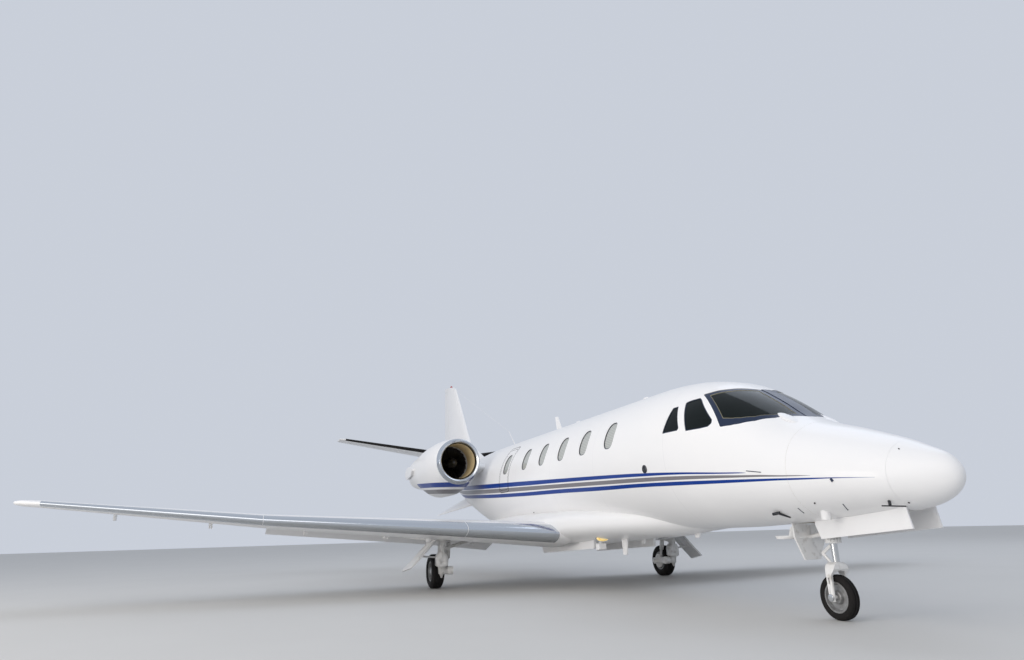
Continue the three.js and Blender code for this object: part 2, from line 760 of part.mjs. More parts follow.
function tailplane() {
  return levelFoil(TAILPLANE).subtract(uprightFoil(FIN, FIT)).subtract(elevatorCut(1));
}

function elevator() {
  return levelFoil(TAILPLANE).intersect(elevatorCut(0));
}

function strake() {
  return levelFoil(STRAKE).subtract(hull(NOSE_JOINT, TAIL_END, FIT * 6));
}

// Engines

const DUCT = [[9300, 0], [9300, 392], [9400, 352], [9560, 348], [10140, 352], [10140, 390]];
const PIVOT_FAIRING = [
  [11240, 2255],
  [11420, 2170],
  [12100, 2135],
  [12420, 2150],
  [12500, 2215],
  [12500, 2330],
  [12420, 2400],
  [12100, 2415],
  [11420, 2360],
  [11240, 2300],
];
const FAN_FRONT = 9930;
const CORE_FRONT = 10160;

function nacelle() {
  const duct = turnedX([...DUCT, [10270, 390], [10270, 0]], ENGINE_Y, ENGINE_Z, HULL_SIDES);
  const ductWall = turnedX([[9300, 0], [9300, 405], [10260, 405], [10260, 0]], ENGINE_Y, ENGINE_Z);
  const bay = bodyLoft(NACELLE, 9700, 11600, -COWL_WALL, ENGINE_Y).subtract(ductWall);
  const cowl = bodyLoft(NACELLE, 9320, REVERSER_FRONT - RUN, 0, ENGINE_Y).subtract(duct).subtract(bay);
  return join(cowl, pivotFairing());
}

// The fixed arm outboard of the reverser that holds its pivot, clear of both halves
function pivotFairing() {
  const [near, far] = [ENGINE_Y + 385, ENGINE_Y + 560];
  const skin = bodyLoft(NACELLE, 11000, REVERSER_REAR, PIVOT_FAIRING_OUT, ENGINE_Y);
  const halves = bodyLoft(NACELLE, REVERSER_FRONT - 15, REVERSER_REAR, RUN + 2, ENGINE_Y);
  let arm = sidePlate(PIVOT_FAIRING, near, far).intersect(skin);
  for (let turn = -REVERSER_SWING; turn <= REVERSER_SWING; turn += REVERSER_SWING / 4) {
    arm = arm.subtract(swung(halves, turn));
  }
  return arm;
}

// A body turned about the reverser's pivot by some degrees
function swung(body, turn) {
  const pivot = [at(REVERSER_PIVOT), 0, ENGINE_Z];
  return body.translate(pivot.map((v) => -v)).rotate([0, turn, 0]).translate(pivot);
}

function engineCore() {
  const front = [[CORE_FRONT, 0], [CORE_FRONT, 389], [10900, 389]];
  const rear = [[11300, 335], [11440, 318], [12080, 290]];
  const pipe = [[12080, 266], [11480, 284], [11480, 150], [12000, 20], [12000, 0]];
  return turnedX([...front, ...rear, ...pipe], ENGINE_Y, ENGINE_Z, HULL_SIDES);
}

function fan() {
  const spinner = [[9700, 0], [9720, 36], [9820, 92], [FAN_FRONT, 118], [10120, 118], [10120, 0]];
  const blades = 18;
  const blade = new THREE.BoxGeometry(120, 10, 232);
  blade.translate(0, 0, 224);
  blade.rotateZ(THREE.MathUtils.degToRad(38));
  let body = turnedX(spinner, 0, 0);
  for (let i = 0; i < blades; i += 1) {
    const placed = blade.clone().translate(at(10040), 0, 0);
    body = body.add(solid(placed.rotateX((i / blades) * 2 * Math.PI)));
  }
  return solid(geometryOf(body).translate(0, ENGINE_Y, ENGINE_Z));
}

// One half of the reverser: its edge slopes back from the pivot, so that the two halves meet
// behind the nozzle when they swing
function reverser(up) {
  const bore = [[11400, 0], [11400, 350], [12000, 350], [12650, 300], [12650, 0]];
  const ring = bodyLoft(NACELLE, REVERSER_FRONT, REVERSER_REAR, 0, ENGINE_Y).subtract(
    turnedX(bore, ENGINE_Y, ENGINE_Z - 12, HULL_SIDES),
  );
  const rise = (REVERSER_REAR - REVERSER_PIVOT) * Math.tan(THREE.MathUtils.degToRad(REVERSER_SWING + 1));
  const edge = RUN / 2;
  const outline = [[11400, edge], [REVERSER_PIVOT, edge], [REVERSER_REAR + 20, rise + edge]];
  const half = [...outline, [REVERSER_REAR + 20, 700], [11400, 700]];
  return ring.intersect(
    sidePlate(half.map(([s, z]) => [s, ENGINE_Z + up * z]), ENGINE_Y - 700, ENGINE_Y + 700),
  );
}

function pylon() {
  const rows = [[640, 9850, 1650, 2190, 0.15], [1300, 9850, 1480, 2260, 0.15]];
  return levelFoil(rows)
    .subtract(hull(PRESSURE_BULKHEAD - 400, TAIL_END, FIT))
    .subtract(bodyLoft(NACELLE, 9320, REVERSER_REAR, FIT, ENGINE_Y));
}

// Landing gear

// The flats of the crown touch the tyre's radius, so that the jet stands on three of them
function tyre({ station, radius, width, rim }, y) {
  const [h, shoulder] = [width / 2, radius - width * 0.2];
  const near = [[-h * 0.8, rim + FIT], [-h, rim + (shoulder - rim) * 0.45], [-h * 0.94, shoulder]];
  const corner = radius / Math.cos(Math.PI / ROUND_SIDES);
  const crown = [[-h * 0.6, corner], [h * 0.6, corner]];
  const far = [...near].reverse().map(([w, r]) => [-w, r]);
  return turnedY([...near, ...crown, ...far, near[0]], station, y, radius);
}

function wheel({ station, radius, width, rim }, y, bore) {
  const [h, dish, hub] = [width * 0.4, width * 0.12, rim * 0.42];
  const near = [[-h, bore], [-h, hub], [-dish, hub], [-dish, rim * 0.84], [-h, rim * 0.84]];
  const far = [...near].reverse().map(([w, r]) => [-w, r]);
  return turnedY([...near, [-h, rim], [h, rim], ...far, near[0]], station, y, radius);
}

function noseLeg() {
  const tube = bar([NOSE_STRUT, 0, NOSE_COLLAR_Z], [NOSE_STRUT, 0, 1180], 58);
  const collar = bar([NOSE_STRUT, 0, NOSE_COLLAR_Z], [NOSE_STRUT, 0, NOSE_COLLAR_Z + 52], 76, 76, 16);
  const trunnion = bar([NOSE_STRUT, -NOSE_TRUNNION, 1120], [NOSE_STRUT, NOSE_TRUNNION, 1120], 38);
  const brace = bar([NOSE_STRUT, 0, 860], [960, 0, 1150], 26);
  const crossbar = bar([960, -NOSE_TRUNNION, 1150], [960, NOSE_TRUNNION, 1150], 22);
  const doorArm = bar([NOSE_STRUT, 0, 810], [NOSE_AFT_DOOR + 10, 0, 770], 20);
  return join(tube, collar, trunnion, brace, crossbar, doorArm, noseAftDoor());
}

// The door that rides on the leg and closes the bay behind it, with the link that pulls it shut
function noseAftDoor() {
  const [front, rear] = [NOSE_AFT_DOOR, NOSE_AFT_DOOR + 22];
  const outline = [[-200, 960], [200, 960], [200, 775], [100, 548], [-100, 548], [-200, 775]];
  const link = [[rear - 8, 752], [2070, 752], [2082, 784], [1890, 786], [1850, 872], [rear - 8, 872]];
  return join(frontPlate(outline, front, rear), sidePlate(link, -165, -135)).subtract(
    hull(NOSE_JOINT - 200, 2400, RUN),
  );
}

// The fork is an arch over the tyre, cut to a tapering blade on each side
function noseFork() {
  const { station, radius } = NOSE_WHEEL;
  const piston = bar([NOSE_STRUT, 0, 500], [NOSE_STRUT, 0, NOSE_COLLAR_Z - RUN], 31);
  const outer = [[40, 532], [72, 512], [93, 478], [100, 428], [100, radius - 34]];
  const inner = [[74, radius - 34], [74, 416], [58, 446], [0, 458]];
  const mirror = ([y, z]) => [-y, z];
  const arch = [...outer, ...inner, ...inner.slice(0, 3).reverse().map(mirror)];
  const front = [...arch, ...[...outer].reverse().map(mirror)];
  const side = [
    [NOSE_STRUT - 46, 540],
    [NOSE_STRUT + 70, 540],
    [NOSE_STRUT + 66, 470],
    [station + 29, 408],
    [station + 25, radius - 38],
    [station - 25, radius - 38],
    [station - 31, 408],
    [NOSE_STRUT - 44, 470],
  ];
  const slot = [[station - 10, 335], [station + 9, 335], [station + 12, 392], [station - 8, 392]];
  const fork = frontPlate(front, NOSE_STRUT - 60, station + 60)
    .intersect(sidePlate(side, -120, 120))
    .subtract(sidePlate(slot, -120, 120));
  const axle = bar([station, -104, radius], [station, 104, radius], 20);
  const lower = bar([NOSE_STRUT + 60, 0, 510], [1628, 0, 612], 17);
  const upper = bar([1628, 0, 612], [NOSE_STRUT + 36, 0, 690], 17);
  return join(piston, fork, axle, lower, upper);
}

function noseDoor(side) {
  const outline = [[446, 1080], [1496, 1080], [1488, 890], [1433, 753], [404, 838]];
  const [near, far] = side > 0 ? [162, 180] : [-180, -162];
  return sidePlate(outline, near, far).subtract(hull(RADOME_JOINT, 2400, FIT));
}

function mainLeg() {
  const { station, y, pivotZ } = MAIN_LEG;
  const head = bar([station, y, 915], [station, y, 775], 94, 88, 16);
  const neck = bar([station, y, 785], [station, y, 520], 66, 66, 16);
  const knuckle = [[66, 590], [98, 520], [98, 392], [64, 362]];
  const knee = frontPlate(
    [...knuckle, ...[...knuckle].reverse().map(([w, z]) => [-w, z])].map(([w, z]) => [y + w, z]),
    station - 62,
    station + 62,
  ).subtract(block(station - 70, station - 40, y - 32, y + 32, 420, 452));
  const foot = bar([station, y, 400], [station, y, 252], 64, 52, 16);
  const jackPoint = bar([station, y, 258], [station, y, 186], 42, 12);
  const pivot = bar([station, y, pivotZ], [station, MAIN_LINK_Y.to + FIT, pivotZ], 54, 54, 16);
  const trunnion = bar([MAIN_BAY.from + 3, y, 880], [MAIN_BAY.to - 3, y, 880], 40);
  const brace = bar([station, y, 640], [station, 1330, 900], 26);
  const lug = bar([station, y, 800], [station + 90, MAIN_LINK_Y.from + 20, 800], 30);
  return join(head, neck, knee, foot, jackPoint, pivot, trunnion, brace, lug);
}

// The link trails from the foot of the leg to the axle, with the shock strut above it
function mainLink() {
  const { station, radius } = MAIN_WHEEL;
  const { from, to } = MAIN_LINK_Y;
  const { station: pivot, pivotZ } = MAIN_LEG;
  const middle = (from + to) / 2;
  const eye = bar([pivot, from, pivotZ], [pivot, to, pivotZ], 66, 66, 16);
  const arm = sidePlate(
    [
      [pivot, pivotZ - 60],
      [pivot, pivotZ + 60],
      [station - 60, radius + 66],
      [station + 40, radius + 56],
      [station + 66, radius],
      [station + 30, radius - 56],
    ],
    from,
    to,
  );
  const axle = bar([station, from - 22, radius], [station, MAIN_WHEEL.y + 86, radius], 32);
  const brake = bar([station, to + 6, radius], [station, to + 22, radius], 128, 128, ROUND_SIDES);
  const foot = [station - 150, middle, radius + 40];
  const top = [pivot + 90, middle, 752];
  const rod = bar(foot, top, 24);
  const body = bar([(foot[0] + top[0]) / 2, middle, (foot[2] + top[2]) / 2 - 40], top, 42);
  return join(eye, arm, axle, brake, rod, body);
}

// The door carried by the leg: a broad plate that hangs outboard, and a flat one under the wing
function mainDoor() {
  const lower = frontPlate([[2398, 792], [2436, 800], [2908, 318], [2888, 296]], 7650, 8060).subtract(
    sidePlate([[7600, 200], [7600, 372], [8100, 290], [8100, 200]], 2000, 3200),
  );
  const upper = frontPlate([[2398, 772], [2398, 796], [2880, 862], [2880, 843]], 7720, 8010);
  const rod = bar([MAIN_LEG.station, MAIN_LEG.y + 106, 520], [MAIN_LEG.station, 2680, 545], 14);
  return join(lower, upper, rod).subtract(levelFoil(WING, FIT));
}

// Materials: colour, roughness, metalness
const FINISH = {
  white: [0xf1f0ee, 0.25, 0],
  dark: [0x22262c, 0.5, 0],
  glass: [0x101614, 0.08, 0],
  shade: [0xc9ccd2, 0.5, 0],
  metal: [0xb9bcc2, 0.3, 0.9],
  gear: [0xe6e6e4, 0.4, 0.1],
  rubber: [0x1b1b1d, 0.85, 0],
  leather: [0xb8a88f, 0.7, 0],
  carpet: [0x6b6154, 0.95, 0],
};

// A named mesh in the finish it is made of
function piece(name, finish, body) {
  const [color, roughness, metalness] = FINISH[finish];
  const material = new THREE.MeshStandardMaterial({ color, roughness, metalness });
  const mesh = new THREE.Mesh(geometryOf(body), material);
  mesh.name = name;
  return mesh;
}

const jet = new THREE.Group();

// Pieces on the centre line or on one side only
jet.add(
  piece("radome", "white", radome()),
  piece("nose_section", "white", noseSection()),
  piece("fuselage_shell", "white", fuselageShell()),
  piece("tailcone", "white", tailcone()),
  piece("belly_fairing", "white", bellyFairing()),
  piece("exit_hatch", "white", exitHatch()),
  piece("entry_door", "white", entryDoor()),
  piece("baggage_door", "white", baggageDoor()),
  piece("cabin_floor", "carpet", cabinFloor()),
  piece("instrument_panel", "dark", instrumentPanel()),
  piece("fin", "white", fin()),
  piece("rudder", "white", rudder()),
  piece("nose_leg", "gear", noseLeg()),
  piece("nose_fork", "gear", noseFork()),
  piece("nose_wheel", "metal", wheel(NOSE_WHEEL, 0, 22)),
  piece("nose_tyre", "rubber", tyre(NOSE_WHEEL, 0)),
);

// Pieces whose two sides differ
for (const [side, word] of [[1, "left"], [-1, "right"]]) {
  jet.add(
    piece("windshield_" + word, "glass", windshield(side)),
    piece("cockpit_glass_" + word, "glass", sideGlass(side)),
    piece("cabin_windows_" + word, "shade", cabinWindows(side)),
    piece("cockpit_seat_" + word, "leather", cockpitSeat(side)),
    piece("nose_door_" + word, "white", noseDoor(side)),
  );
}

// Pieces made for the port side and mirrored to starboard
const PAIRS = [
  ["wing", "white", wing()],
  ["flap", "white", flap()],
  ["aileron", "white", aileron()],
  ["tailplane", "white", tailplane()],
  ["elevator", "white", elevator()],
  ["strake", "white", strake()],
  ["nacelle", "white", nacelle()],
  ["engine_core", "metal", engineCore()],
  ["fan", "metal", fan()],
  ["reverser_upper", "white", reverser(1)],
  ["reverser_lower", "white", reverser(-1)],
  ["pylon", "white", pylon()],
  ["main_leg", "gear", mainLeg()],
  ["main_link", "gear", mainLink()],
  ["main_wheel", "metal", wheel(MAIN_WHEEL, MAIN_WHEEL.y, 34)],
  ["main_tyre", "rubber", tyre(MAIN_WHEEL, MAIN_WHEEL.y)],
  ["main_door", "white", mainDoor()],
];
for (const [name, finish, body] of PAIRS) {
  jet.add(piece(name + "_left", finish, body));
  jet.add(piece(name + "_right", finish, mirrored(body)));
}

export default jet;
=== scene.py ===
# %% [markdown]
# # A midsize business jet, parked on its gear
#
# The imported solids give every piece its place, in metres: +X forward, +Y to port, +Z up.
# This lesson lays smooth skins, glass, metal and rubber over them. Each new piece rides on the
# solid body that it belongs to, so that doors, flaps, wheels and fans still move.

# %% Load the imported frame
import json
import math

import bmesh
import bpy
from mathutils import Matrix, Vector


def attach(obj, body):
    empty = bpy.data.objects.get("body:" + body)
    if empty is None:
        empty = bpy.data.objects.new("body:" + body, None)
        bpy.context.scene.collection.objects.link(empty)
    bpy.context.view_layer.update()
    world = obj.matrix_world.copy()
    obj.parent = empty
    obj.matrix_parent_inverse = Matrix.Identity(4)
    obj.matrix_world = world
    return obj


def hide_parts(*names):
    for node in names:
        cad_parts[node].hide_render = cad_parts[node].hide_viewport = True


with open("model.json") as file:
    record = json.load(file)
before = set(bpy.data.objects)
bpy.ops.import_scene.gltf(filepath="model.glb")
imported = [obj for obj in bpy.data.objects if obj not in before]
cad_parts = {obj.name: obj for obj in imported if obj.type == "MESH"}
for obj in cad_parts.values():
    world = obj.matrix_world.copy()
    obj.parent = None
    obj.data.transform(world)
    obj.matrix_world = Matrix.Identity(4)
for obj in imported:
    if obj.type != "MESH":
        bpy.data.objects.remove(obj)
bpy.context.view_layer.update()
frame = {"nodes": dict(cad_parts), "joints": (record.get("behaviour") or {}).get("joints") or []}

MM = 0.001
# The nose tip's x, and the distance under which two vertices are welded into one, in metres
NOSE_X = 8.0
WELD = 2e-5
SIDES = {"left": 1, "right": -1}


def at(station):
    """The x of a station, which is a distance in mm aft of the nose tip."""
    return NOSE_X - station * MM


# %% [markdown]
# ## Camera, floor and light
#
# The photograph was taken close to the ground with a wide lens, in front of the right wing.
# The camera's place and angles come from a fit to wheels, windows, wing tip and fin. The floor
# is plain and pale. One broad soft lamp stands on the camera's side, as a hangar lamp would,
# a weaker one fills the far side, a low one in front reaches the gear and the belly, and an
# even pale sky does the rest.

# %% Camera
LENS, SENSOR = 23.84, 36
NEAR, FAR = 0.05, 400
CAMERA_AT = Vector((11.9696, -5.4340, 0.9058))
YAW, PITCH, ROLL = 2.7732966, 0.2884244, -0.0276840

scene = bpy.context.scene
ahead = Vector((math.cos(PITCH) * math.cos(YAW), math.cos(PITCH) * math.sin(YAW), math.sin(PITCH)))
level = ahead.cross(Vector((0, 0, 1))).normalized()
upright = level.cross(ahead)
right = math.cos(ROLL) * level + math.sin(ROLL) * upright
above = math.cos(ROLL) * upright - math.sin(ROLL) * level
camera_data = bpy.data.cameras.new("photo_camera")
camera_data.lens, camera_data.sensor_width = LENS, SENSOR
camera_data.clip_start, camera_data.clip_end = NEAR, FAR
camera = bpy.data.objects.new("photo_camera", camera_data)
facing = Matrix((right, above, -ahead)).transposed().to_4x4()
camera.matrix_world = Matrix.Translation(CAMERA_AT) @ facing
scene.collection.objects.link(camera)
scene.camera = camera
print("camera", [round(v, 2) for v in camera.location], "lens", LENS)

# %% Colours and nodes


def linear(code):
    """An sRGB hex colour as the linear colour that a shader takes."""
    parts = [int(code[i:i + 2], 16) / 255 for i in (1, 3, 5)]
    return (*[c / 12.92 if c <= 0.04045 else ((c + 0.055) / 1.055) ** 2.4 for c in parts], 1)


def add(tree, kind, options=None, **sockets):
    """Adds a node. options sets its menus; a socket takes a value or another node's output."""
    made = tree.nodes.new("ShaderNode" + kind)
    for option, value in (options or {}).items():
        setattr(made, option, value)
    for socket, value in sockets.items():
        target = made.inputs[int(socket[1:]) if socket[1:].isdigit() else socket.replace("_", " ")]
        if isinstance(value, bpy.types.NodeSocket):
            tree.links.new(value, target)
        else:
            target.default_value = value
    return made.outputs


def new_material(name, base, **sockets):
    """A material whose shader has these values. Returns it, its tree, its shader and a place."""
    made = bpy.data.materials.new(name)
    made.use_nodes = True
    shader = made.node_tree.nodes["Principled BSDF"]
    shader.inputs["Base Color"].default_value = linear(base)
    for socket, value in sockets.items():
        shader.inputs[socket.replace("_", " ")].default_value = value
    return made, made.node_tree, shader, add(made.node_tree, "TexCoord")["Object"]


# %% Floor and light
FLOOR_SIZE = 160
SKY, SKY_STRENGTH = "#D3D9E4", 0.9
LAMPS_AIM = Vector((0, 0, 1.5))
KEY = {"at": (15, -19, 13), "size": 26, "power": 2300, "colour": "#FFF8EF"}
FILL = {"at": (-2, 14, 22), "size": 20, "power": 1100, "colour": "#E8F0FF"}
FRONT = {"at": (6, -18, 2.4), "size": 8, "power": 850, "colour": "#FFF8EF"}

# Poured concrete, sealed and dusty: a faint slow drift tells the eye that it is a real floor
floor_material, tree, shader, place = new_material("pale floor", "#C9C8C5", Roughness=0.75)
grain = add(tree, "TexNoise", Vector=place, Scale=0.6, Detail=4.0)["Fac"]
drift = add(tree, "MixRGB", Fac=grain, Color1=linear("#C6C5C2"), Color2=linear("#CCCBC8"))["Color"]
tree.links.new(drift, shader.inputs["Base Color"])
bm = bmesh.new()
bmesh.ops.create_grid(bm, x_segments=1, y_segments=1, size=FLOOR_SIZE / 2)
floor_mesh = bpy.data.meshes.new("floor")
bm.to_mesh(floor_mesh)
bm.free()
floor_mesh.materials.append(floor_material)
floor = bpy.data.objects.new("floor", floor_mesh)
scene.collection.objects.link(floor)

world = bpy.data.worlds.new("pale sky")
scene.world = world
world.use_nodes = True
sky = world.node_tree.nodes["Background"].inputs
sky["Color"].default_value, sky["Strength"].default_value = linear(SKY), SKY_STRENGTH

for name, lamp in (("key", KEY), ("fill", FILL), ("front", FRONT)):
    data = bpy.data.lights.new(name, "AREA")
    data.shape = "DISK"
    data.size = lamp["size"]
    data.energy = lamp["power"]
    data.color = linear(lamp["colour"])[:3]
    light = bpy.data.objects.new(name, data)
    light.location = lamp["at"]
    light.rotation_mode = "QUATERNION"
    light.rotation_quaternion = (LAMPS_AIM - Vector(lamp["at"])).to_track_quat("-Z", "Y")
    scene.collection.objects.link(light)
scene.view_settings.view_transform = "Standard"

# %% [markdown]
# ## The tables that shape the jet
#
# A jet is drawn as sections along its length and along its wings. The same tables that shaped
# the solids shape the skins here, but with smooth curves between the rows, and with many more
# faces, so that highlights run along the body without breaks.

# %% Section tables
# Fuselage: [station, centre z, half width, height up, depth down, fullness]
HULL = [
    [0, 1268, 1, 1, 1, 2],
    [30, 1268, 80, 96, 94, 2],
    [110, 1268, 156, 176, 170, 2],
    [260, 1270, 264, 248, 238, 2],
    [520, 1284, 402, 348, 304, 2],
    [900, 1330, 520, 434, 385, 2.05],
    [1450, 1400, 660, 545, 490, 2.15],
    [1800, 1500, 740, 680, 600, 2.25],
    [2150, 1600, 800, 790, 705, 2.3],
    [2500, 1680, 850, 860, 800, 2.3],
    [3000, 1745, 895, 900, 872, 2.2],
    [3600, 1775, 915, 918, 912, 2.05],
    [4200, 1780, 920, 920, 920, 2],
    [9300, 1780, 920, 920, 920, 2],
    [10300, 1830, 882, 866, 852, 2],
    [11500, 1960, 760, 690, 700, 2],
    [12700, 2100, 580, 480, 490, 2],
    [13900, 2235, 380, 275, 275, 2],
    [15000, 2355, 180, 115, 115, 2],
    [15450, 2390, 70, 60, 60, 2],
]
FAIRING = [
    [3350, 1010, 250, 120, 150, 2],
    [3900, 1010, 520, 150, 214, 2.3],
    [5000, 1010, 800, 190, 262, 2.6],
    [6100, 1010, 985, 215, 320, 2.8],
    [7750, 1010, 1010, 215, 400, 2.8],
    [8800, 1010, 960, 200, 375, 2.7],
    [9700, 1030, 720, 170, 275, 2.4],
    [10600, 1090, 300, 110, 110, 2],
]
# Level surfaces: [half span place, leading edge station, chord, z, thickness over chord]
WING = [
    [720, 5870, 3130, 839, 0.13],
    [2300, 6200, 2620, 950, 0.122],
    [5160, 6811, 1848, 1150, 0.111],
    [8150, 7450, 1040, 1452, 0.1],
    [8420, 7590, 880, 1474, 0.1],
    [8550, 7830, 600, 1485, 0.1],
    [8585, 8030, 380, 1489, 0.09],
]
TAILPLANE = [
    [60, 13750, 1560, 2868, 0.1],
    [3140, 14440, 760, 3356, 0.09],
    [3275, 14560, 560, 3376, 0.08],
]
STRAKE = [[20, 8820, 4540, 1822, 0.011], [800, 13580, 205, 1350, 0.08]]
PYLON = [[640, 9850, 1650, 2190, 0.15], [1300, 9850, 1480, 2260, 0.15]]
# The fin: [z, leading edge station, chord, thickness over chord]
FIN = [
    [2300, 10900, 4700, 0.05],
    [2720, 12350, 3520, 0.066],
    [3150, 13390, 2560, 0.09],
    [4150, 14160, 1820, 0.1],
    [5160, 14980, 1020, 0.1],
]
# The fin's top edge from front to rear: [station, z]
FIN_CROWN = [[14700, 4850], [14800, 4920], [15045, 5022], [15430, 5074], [16010, 5161]]
# Nacelle: as the fuselage, about its own axis
ENGINE_Y, ENGINE_Z = 1510, 2300
NACELLE = [
    [9320, 2300, 405, 405, 405, 2],
    [9350, 2300, 432, 432, 434, 2],
    [9600, 2300, 478, 470, 520, 2],
    [10200, 2300, 515, 495, 650, 2],
    [10800, 2295, 512, 480, 645, 2],
    [11450, 2280, 478, 435, 495, 2],
    [12150, 2280, 408, 390, 395, 2],
    [12600, 2285, 352, 348, 352, 2],
]


def row_at(table, key, power=1.0):
    """The row of a table at any key, on smooth curves through its rows."""
    keys = [row[0] ** power for row in table]
    here = key ** power
    last = len(table) - 1
    i = max(k for k in range(last) if k == 0 or keys[k] < here)
    span = keys[i + 1] - keys[i]
    t = min(max((here - keys[i]) / span, 0), 1)
    row = [key]
    for column in range(1, len(table[0])):
        rise = [
            (table[k][column] - table[k - 1][column]) / (keys[k] - keys[k - 1]) if k else 0
            for k in range(last + 1)
        ]

        def slope(k):
            if k == 0 or k == last:
                return rise[max(k, 1)]
            before, after = rise[k], rise[k + 1]
            return 2 * before * after / (before + after) if before * after > 0 else 0

        a, b = table[i][column], table[i + 1][column]
        da, db = slope(i) * span, slope(i + 1) * span
        t2, t3 = t * t, t ** 3
        row.append(
            a * (2 * t3 - 3 * t2 + 1) + b * (3 * t2 - 2 * t3)
            + da * (t3 - 2 * t2 + t) + db * (t3 - t2)
        )
    return row


def straight_row(table, key):
    """The row of a table at any key, on straight lines between its rows."""
    i = max(k for k in range(len(table) - 1) if k == 0 or table[k][0] < key)
    share = (key - table[i][0]) / (table[i + 1][0] - table[i][0])
    return [a + (b - a) * share for a, b in zip(table[i], table[i + 1])]


def spread(start, end, step):
    """Even keys from start to end, no further apart than step."""
    count = max(1, math.ceil((end - start) / step))
    return [start + (end - start) * i / count for i in range(count + 1)]


print("fuselage", HULL[-1][0], "mm, wing to", WING[-1][0], "mm of half span")

# %% [markdown]
# ## Tools for skins, plates and cuts
#
# A skin is a flat grid whose lines are moved onto the sections. A grid keeps its order, so
# nothing twists, and its seam is welded afterwards. Openings are cut with real closed
# cutters, as a skin is cut on a jig, because a cut keeps the curve around it true.

# %% Modelling tools
HULL_TURNS = 96
FOIL_TURNS = 56


def turns(count):
    """Angles once round, with the first repeated at the end to be welded."""
    return [2 * math.pi * i / count for i in range(count + 1)]


def blank():
    """An empty bmesh with the layer that holds a skin's unwrapping."""
    bm = bmesh.new()
    bm.loops.layers.uv.new("Skin")
    return bm


def skin(rows, angles, place):
    """A grid laid over a body: one line of vertices for each row, one vertex for each angle."""
    bm = blank()
    bmesh.ops.create_grid(
        bm, x_segments=len(rows) - 1, y_segments=len(angles) - 1, size=1, calc_uvs=True
    )
    for v in bm.verts:
        row = rows[round((v.co.x + 1) / 2 * (len(rows) - 1))]
        angle = angles[round((v.co.y + 1) / 2 * (len(angles) - 1))]
        v.co = place(row, angle)
    bmesh.ops.remove_doubles(bm, verts=bm.verts, dist=WELD)
    return bm


def capped(bm):
    """Closes the open ends of a skin and turns its faces outwards."""
    bmesh.ops.holes_fill(bm, edges=[e for e in bm.edges if e.is_boundary], sides=0)
    bmesh.ops.recalc_face_normals(bm, faces=bm.faces)
    return bm


def thickened(bm, thick):
    """Gives an open skin a thickness in mm."""
    bmesh.ops.recalc_face_normals(bm, faces=bm.faces)
    bmesh.ops.solidify(bm, geom=bm.faces[:], thickness=thick * MM)
    bmesh.ops.recalc_face_normals(bm, faces=bm.faces)
    return bm


def pushed(bm, way):
    """Pushes a flat face out along a vector, which makes it a closed solid."""
    top = bmesh.ops.extrude_face_region(bm, geom=bm.faces[:])["geom"]
    bmesh.ops.translate(bm, verts=[v for v in top if isinstance(v, bmesh.types.BMVert)], vec=way)
    bmesh.ops.recalc_face_normals(bm, faces=bm.faces)
    return bm


def holder(bm):
    """A bmesh as a scene object for a modifier to use."""
    mesh = bpy.data.meshes.new("holder")
    bm.to_mesh(mesh)
    bm.free()
    made = bpy.data.objects.new("holder", mesh)
    scene.collection.objects.link(made)
    return made


def carve(bm, *cutters, operation="DIFFERENCE"):
    """Cuts closed solids out of a closed solid, or keeps what they share."""
    target = holder(bm)
    tools = [holder(cutter) for cutter in cutters]
    for tool in tools:
        cut = target.modifiers.new("cut", "BOOLEAN")
        cut.operation = operation
        cut.solver = "MANIFOLD"
        cut.object = tool
    out = bmesh.new()
    out.from_object(target, bpy.context.evaluated_depsgraph_get())
    for used in [target, *tools]:
        bpy.data.meshes.remove(used.data)
    bmesh.ops.remove_doubles(out, verts=out.verts, dist=WELD)
    return out


def joined(*parts):
    """Several bmeshes as one."""
    whole = parts[0]
    for part in parts[1:]:
        mesh = bpy.data.meshes.new("part")
        part.to_mesh(mesh)
        part.free()
        whole.from_mesh(mesh)
        bpy.data.meshes.remove(mesh)
    return whole


def plate(corners, push, inset=0, rounding=0):
    """A flat outline with rounded corners, drawn in by inset, pushed out along a vector."""
    bm = blank()
    face = bm.faces.new([bm.verts.new(corner) for corner in corners])
    if inset:
        face.normal_update()
        bmesh.ops.inset_individual(bm, faces=[face], thickness=inset, use_even_offset=True)
        bmesh.ops.delete(bm, geom=[f for f in bm.faces if f != face], context="FACES")
    if rounding:
        bmesh.ops.bevel(
            bm, geom=bm.verts[:], offset=rounding, segments=6, profile=0.5, affect="VERTICES",
            material=-1,
        )
    return pushed(bm, push)


def side_plate(outline, low, high, **shape):
    """A plate from [station, z] in mm, from one y to another in mm."""
    corners = [(at(s), low * MM, z * MM) for s, z in outline]
    return plate(corners, (0, (high - low) * MM, 0), **shape)


def plan_plate(outline, low, high, **shape):
    """A plate from [station, y] in mm, from one z to another in mm."""
    corners = [(at(s), y * MM, low * MM) for s, y in outline]
    return plate(corners, (0, 0, (high - low) * MM), **shape)


def front_plate(outline, first, last):
    """A plate from [y, z] in mm, from one station to another."""
    corners = [(at(first), y * MM, z * MM) for y, z in outline]
    return plate(corners, (at(last) - at(first), 0, 0))


